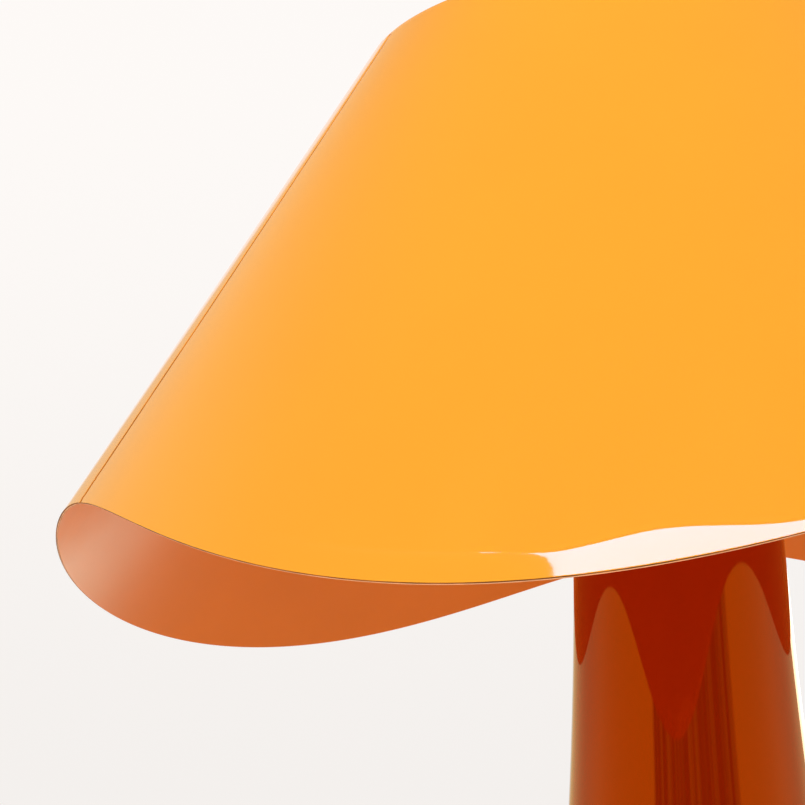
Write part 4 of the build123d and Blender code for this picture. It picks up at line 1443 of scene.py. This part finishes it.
@dataclass
class Lamp(SubAssembly):
    """The screw-in lamp."""

    bottom: float = 915.6
    radius: float = 30.0
    cap_radius: float = 13.0
    cap_bottom: float = 919.8
    cap_height: float = 23.0
    thread_pitch: float = 3.6
    thread_turns: int = 4
    thread_depth: float = 0.75
    glass: float = 1.0
    collar: float = 1.5
    neck_radius: float = 24.0
    neck_top: float = 971.6
    centre: float = 989.6

    def build(self) -> None:
        """Makes the cap, the housing and the globe, and finishes what is inside."""
        self.keep(BRASS, "bulb_contact")
        self.keep(BLACK_GLASS, "bulb_insulator")
        cap_top = self.cap_bottom + self.cap_height
        root = self.cap_radius - self.thread_depth
        cap = turned(
            "lamp_screw_cap",
            [
                Corner(root - 0.6, self.cap_bottom, 0.1), Corner(root, self.cap_bottom, 0.3),
                Corner(root, cap_top - 5.0, 0), Corner(root, cap_top, 0.2), Corner(root - 0.6, cap_top, 0.1),
            ],
            NICKEL,
        )
        end = self.cap_bottom + self.thread_turns * self.thread_pitch
        thread_on(cap, NICKEL, root - 0.25, self.cap_bottom + 1.2, end, self.thread_pitch, 0.98)
        self.stand_in(cap, "bulb", "nickel", "bulb_cap")
        self.stand_in(self.housing(cap_top), "bulb", "bulb_plastic", "bulb_housing")
        self.keep(LED_ALUMINIUM, "bulb_board")
        self.keep(LED_PHOSPHOR, "bulb_diodes")
        start = asin((self.neck_top - self.centre) / self.radius)
        outer, inner = self.globe_arc(self.radius, start), self.globe_arc(self.radius - self.glass, start + 0.03)
        globe = turned("lamp_globe", outer + inner[::-1], OPAL_GLASS, segments=128)
        self.stand_in(globe, "bulb", "opal_glass", "bulb_globe")

    def globe_arc(self, radius: float, start: float, steps: int = 40) -> list[Corner]:
        """The globe's section, from an angle above its middle up to its pole on the axis.

        Args:
            radius: of the arc.
            start: the angle, in radians.
            steps: how many runs it has.

        Returns:
            The corners from the lowest up.
        """
        angles = [start + (pi / 2 - start) * step / steps for step in range(steps)]
        arc = [Corner(radius * cos(angle), self.centre + radius * sin(angle), 0) for angle in angles]
        return arc + [Corner(0, self.centre + radius, 0)]

    def housing(self, low: float) -> bpy.types.Object:
        """The flared housing between the cap and the globe, with a collar.

        Args:
            low: the height of its lower edge.

        Returns:
            The finished object.
        """
        collar = low + self.collar
        bulge = [Corner(0, low, 0), Corner(self.cap_radius, low, 0.4), Corner(self.cap_radius, collar, 0.2)]
        for step in range(1, 14):
            share = step / 14
            belly = 5.6 * share * (1 - share)
            radius = self.cap_radius + (self.neck_radius - self.cap_radius) * share + belly * 0.4
            bulge.append(Corner(radius, collar + (self.neck_top - collar) * share - belly * 0.2, 0))
        bulge += [Corner(self.neck_radius, self.neck_top, 0.4), Corner(0, self.neck_top, 0)]
        return turned("lamp_housing", bulge, LAMP_PLASTIC, segments=128)


# ------------------------------------------------------------------------------------------ studio and camera
class Shows(Enum):
    """What a softbox lights."""

    DIFFUSE = "colour alone"
    GLOSS = "reflections alone"


@dataclass(frozen=True)
class Softbox:
    """A softbox: its place and size in metres, its radiance and colour, and the point that it faces."""

    name: str
    place: tuple[float, float, float]
    size: tuple[float, float]
    brightness: float
    colour: tuple[float, float, float]
    shows: Shows
    aim: tuple[float, float, float] = (0.0, 0.0, 0.95)


WHITE, COOL, LEAF = (1.0, 0.985, 0.97), (1.0, 0.53, 0.87), (0.70, 1.0, 0.83)  # the softboxes' colours
WALL_LOW, WALL_HIGH = (0.902, 0.870, 0.846, 1.0), (0.985, 0.950, 0.925, 1.0)  # the wall's, near the floor and above
FLOOR_WHITE = (0.80, 0.79, 0.78, 1.0)


@dataclass
class Studio:
    """The floor, the room's light, the softboxes and the camera."""

    camera_place: tuple[float, float, float] = (0.0, -1.0, 0.741)
    camera_yaw: float = -7.22
    camera_pitch: float = 10.55
    camera_roll: float = -1.44
    lens: float = 96.46
    floor_half: float = 30.0
    floor_fade: tuple[float, float] = (0.5, 2.6)  # how far out the floor starts and ends to turn into the wall
    softboxes: tuple[Softbox, ...] = (
        Softbox("front_key", (-0.35, -1.6, 2.9), (2.4, 1.8), 3.72, WHITE, Shows.DIFFUSE),
        Softbox("overhead_box", (-0.045, 0.475, 2.6), (0.85, 0.83), 14.0, COOL, Shows.GLOSS, (-0.045, 0.475, 0.0)),
        Softbox("floor_bounce", (0.0, -0.5, 0.03), (1.3, 0.7), 1.75, WHITE, Shows.DIFFUSE, (0.0, -0.5, 1.0)),
        Softbox("rear_panel", (0.25, 1.6, 0.3), (1.5, 0.8), 2.0, LEAF, Shows.GLOSS, (-0.29, 0.0, 0.85)),
        Softbox("side_strip", (0.66, 1.66, 1.1), (0.86, 1.0), 3.2, WHITE, Shows.GLOSS, (0.0, 0.0, 0.85)),
    )

    def build(self) -> None:
        """Makes everything round the lamp. No softbox meets the floor."""
        self.floor()
        self.room()
        for box in self.softboxes:
            self.softbox(box)
        self.camera()
        view = bpy.context.scene.view_settings
        view.view_transform, view.look, view.exposure, view.gamma = "Standard", "None", 0.0, 1.0

    def floor(self) -> None:
        """A plain pale floor that fades into the walls, and that is seen through from below."""
        half = self.floor_half
        corners = [(-half, -half, 0), (half, -half, 0), (half, half, 0), (-half, half, 0)]
        floor = new_piece("floor", corners, [(0, 1, 2, 3)])
        paint = bpy.data.materials.new("floor_paint")
        paint.use_nodes = True
        paint.node_tree.nodes.clear()
        write = NodeWriter(paint.node_tree)
        matt = write.add("ShaderNodeBsdfDiffuse", {"Color": FLOOR_WHITE})
        wall = write.add("ShaderNodeEmission", {"Color": WALL_LOW})
        where = write.add("ShaderNodeTexCoord").outputs["Object"]
        away = write.term(write.add("ShaderNodeVectorMath", {0: where}, operation="LENGTH"), "Value")
        seen = Term(write, write.add("ShaderNodeLightPath").outputs["Is Camera Ray"])
        fade = write.ramp(away, *self.floor_fade) * seen
        faded = write.add("ShaderNodeMixShader", {0: fade, 1: matt.outputs[0], 2: wall.outputs[0]})
        clear = write.add("ShaderNodeBsdfTransparent")
        below = write.add("ShaderNodeNewGeometry").outputs["Backfacing"]
        whole = write.add("ShaderNodeMixShader", {0: below, 1: faded.outputs[0], 2: clear.outputs[0]})
        write.add("ShaderNodeOutputMaterial", {"Surface": whole.outputs[0]})
        floor.data.materials.append(paint)

    def room(self) -> None:
        """The light of a pale room: bright walls, darker behind the camera and overhead."""
        world = bpy.data.worlds.new("pale_room")
        bpy.context.scene.world = world
        world.use_nodes = True
        world.node_tree.nodes.clear()
        write = NodeWriter(world.node_tree)
        way = write.add("ShaderNodeSeparateXYZ", {0: write.add("ShaderNodeTexCoord").outputs["Generated"]})
        across, ahead, up = (write.term(way, axis) for axis in ("X", "Y", "Z"))
        level = write.maths("SQRT", across * across + ahead * ahead)
        turn = across / (level + 0.001)
        behind = write.ramp(ahead, 0.05, -0.05) * write.ramp(turn, -0.57, -0.52) * write.ramp(turn, 0.75, 0.70)
        overhead = write.ramp(up, 0.45, 0.75)
        rays = write.add("ShaderNodeLightPath")
        sides = write.ramp(ahead, 0.0, 0.6, 1.2 + 0.4 * Term(write, rays.outputs["Is Glossy Ray"]), 1.0)
        plain = write.blend(write.ramp(up, -0.03, 0.34), WALL_LOW, WALL_HIGH)
        warm = write.blend(write.ramp(up, 0.04, 0.16), (1.0, 0.85, 0.53, 1.0), (0.80, 0.61, 0.40, 1.0))
        wall = write.blend(write.ramp(write.maths("ABSOLUTE", turn), 0.32, 0.37), plain, warm)
        sides = write.term(write.add("ShaderNodeCombineColor", {0: sides, 1: sides, 2: sides}))
        wall = write.blend(1.0, wall, sides, "MULTIPLY")
        bands = {"W": turn * 11.0, "Scale": 1.0, "Detail": 4.0}
        stripes = write.add("ShaderNodeTexNoise", bands, noise_dimensions="1D")
        striped = write.ramp(write.term(stripes), 0.42, 0.66)
        dim = write.blend(striped, (0.10, 0.095, 0.09, 1.0), (0.46, 0.43, 0.41, 1.0))
        room = write.blend(behind, wall, dim)
        room = write.blend(overhead, room, (0.34, 0.33, 0.32, 1.0))
        room = write.blend(rays.outputs["Is Camera Ray"], room, plain)
        background = write.add("ShaderNodeBackground", {"Color": room, "Strength": 1.0})
        write.add("ShaderNodeOutputWorld", {"Surface": background.outputs[0]})

    def softbox(self, box: Softbox) -> None:
        """Puts up a rectangular softbox.

        Args:
            box: which one.
        """
        light = bpy.data.lights.new(box.name, "AREA")
        light.shape = "RECTANGLE"
        light.size, light.size_y = box.size
        light.color = box.colour
        light.energy = box.brightness * pi * box.size[0] * box.size[1]
        lamp = bpy.data.objects.new(box.name, light)
        way = Vector(box.place) - Vector(box.aim)
        lamp.matrix_world = Matrix.Translation(box.place) @ way.to_track_quat("Z", "Y").to_matrix().to_4x4()
        lamp.visible_camera = False
        lamp.visible_glossy = box.shows is not Shows.DIFFUSE
        lamp.visible_diffuse = box.shows is not Shows.GLOSS
        bpy.context.scene.collection.objects.link(lamp)

    def camera(self) -> None:
        """The camera at the photograph's angle."""
        yaw, pitch, roll = (radians(angle) for angle in (self.camera_yaw, self.camera_pitch, self.camera_roll))
        forward = Vector((sin(yaw) * cos(pitch), cos(yaw) * cos(pitch), sin(pitch)))
        right = Vector((cos(yaw), -sin(yaw), 0))
        up = right.cross(forward)
        right, up = right * cos(roll) + up * sin(roll), up * cos(roll) - right * sin(roll)
        data = bpy.data.cameras.new("photo_camera")
        data.lens, data.sensor_width = self.lens, 36.0
        data.clip_start, data.clip_end = 0.05, 100.0
        camera = bpy.data.objects.new("photo_camera", data)
        turn = Matrix((right, up, -forward)).transposed().to_4x4()
        camera.matrix_world = Matrix.Translation(self.camera_place) @ turn
        bpy.context.scene.collection.objects.link(camera)
        bpy.context.scene.camera = camera


def main() -> None:
    """Builds the lamp and the studio."""
    logging.basicConfig(level=logging.INFO, format="%(name)s: %(message)s")
    for part in (Foot(), Stem(), Cage(), Shade(), HandScrew(), Lampholder(), Lamp(), Studio()):
        log.info("building %s", type(part).__name__)
        part.build()


if __name__ == "__main__":
    main()
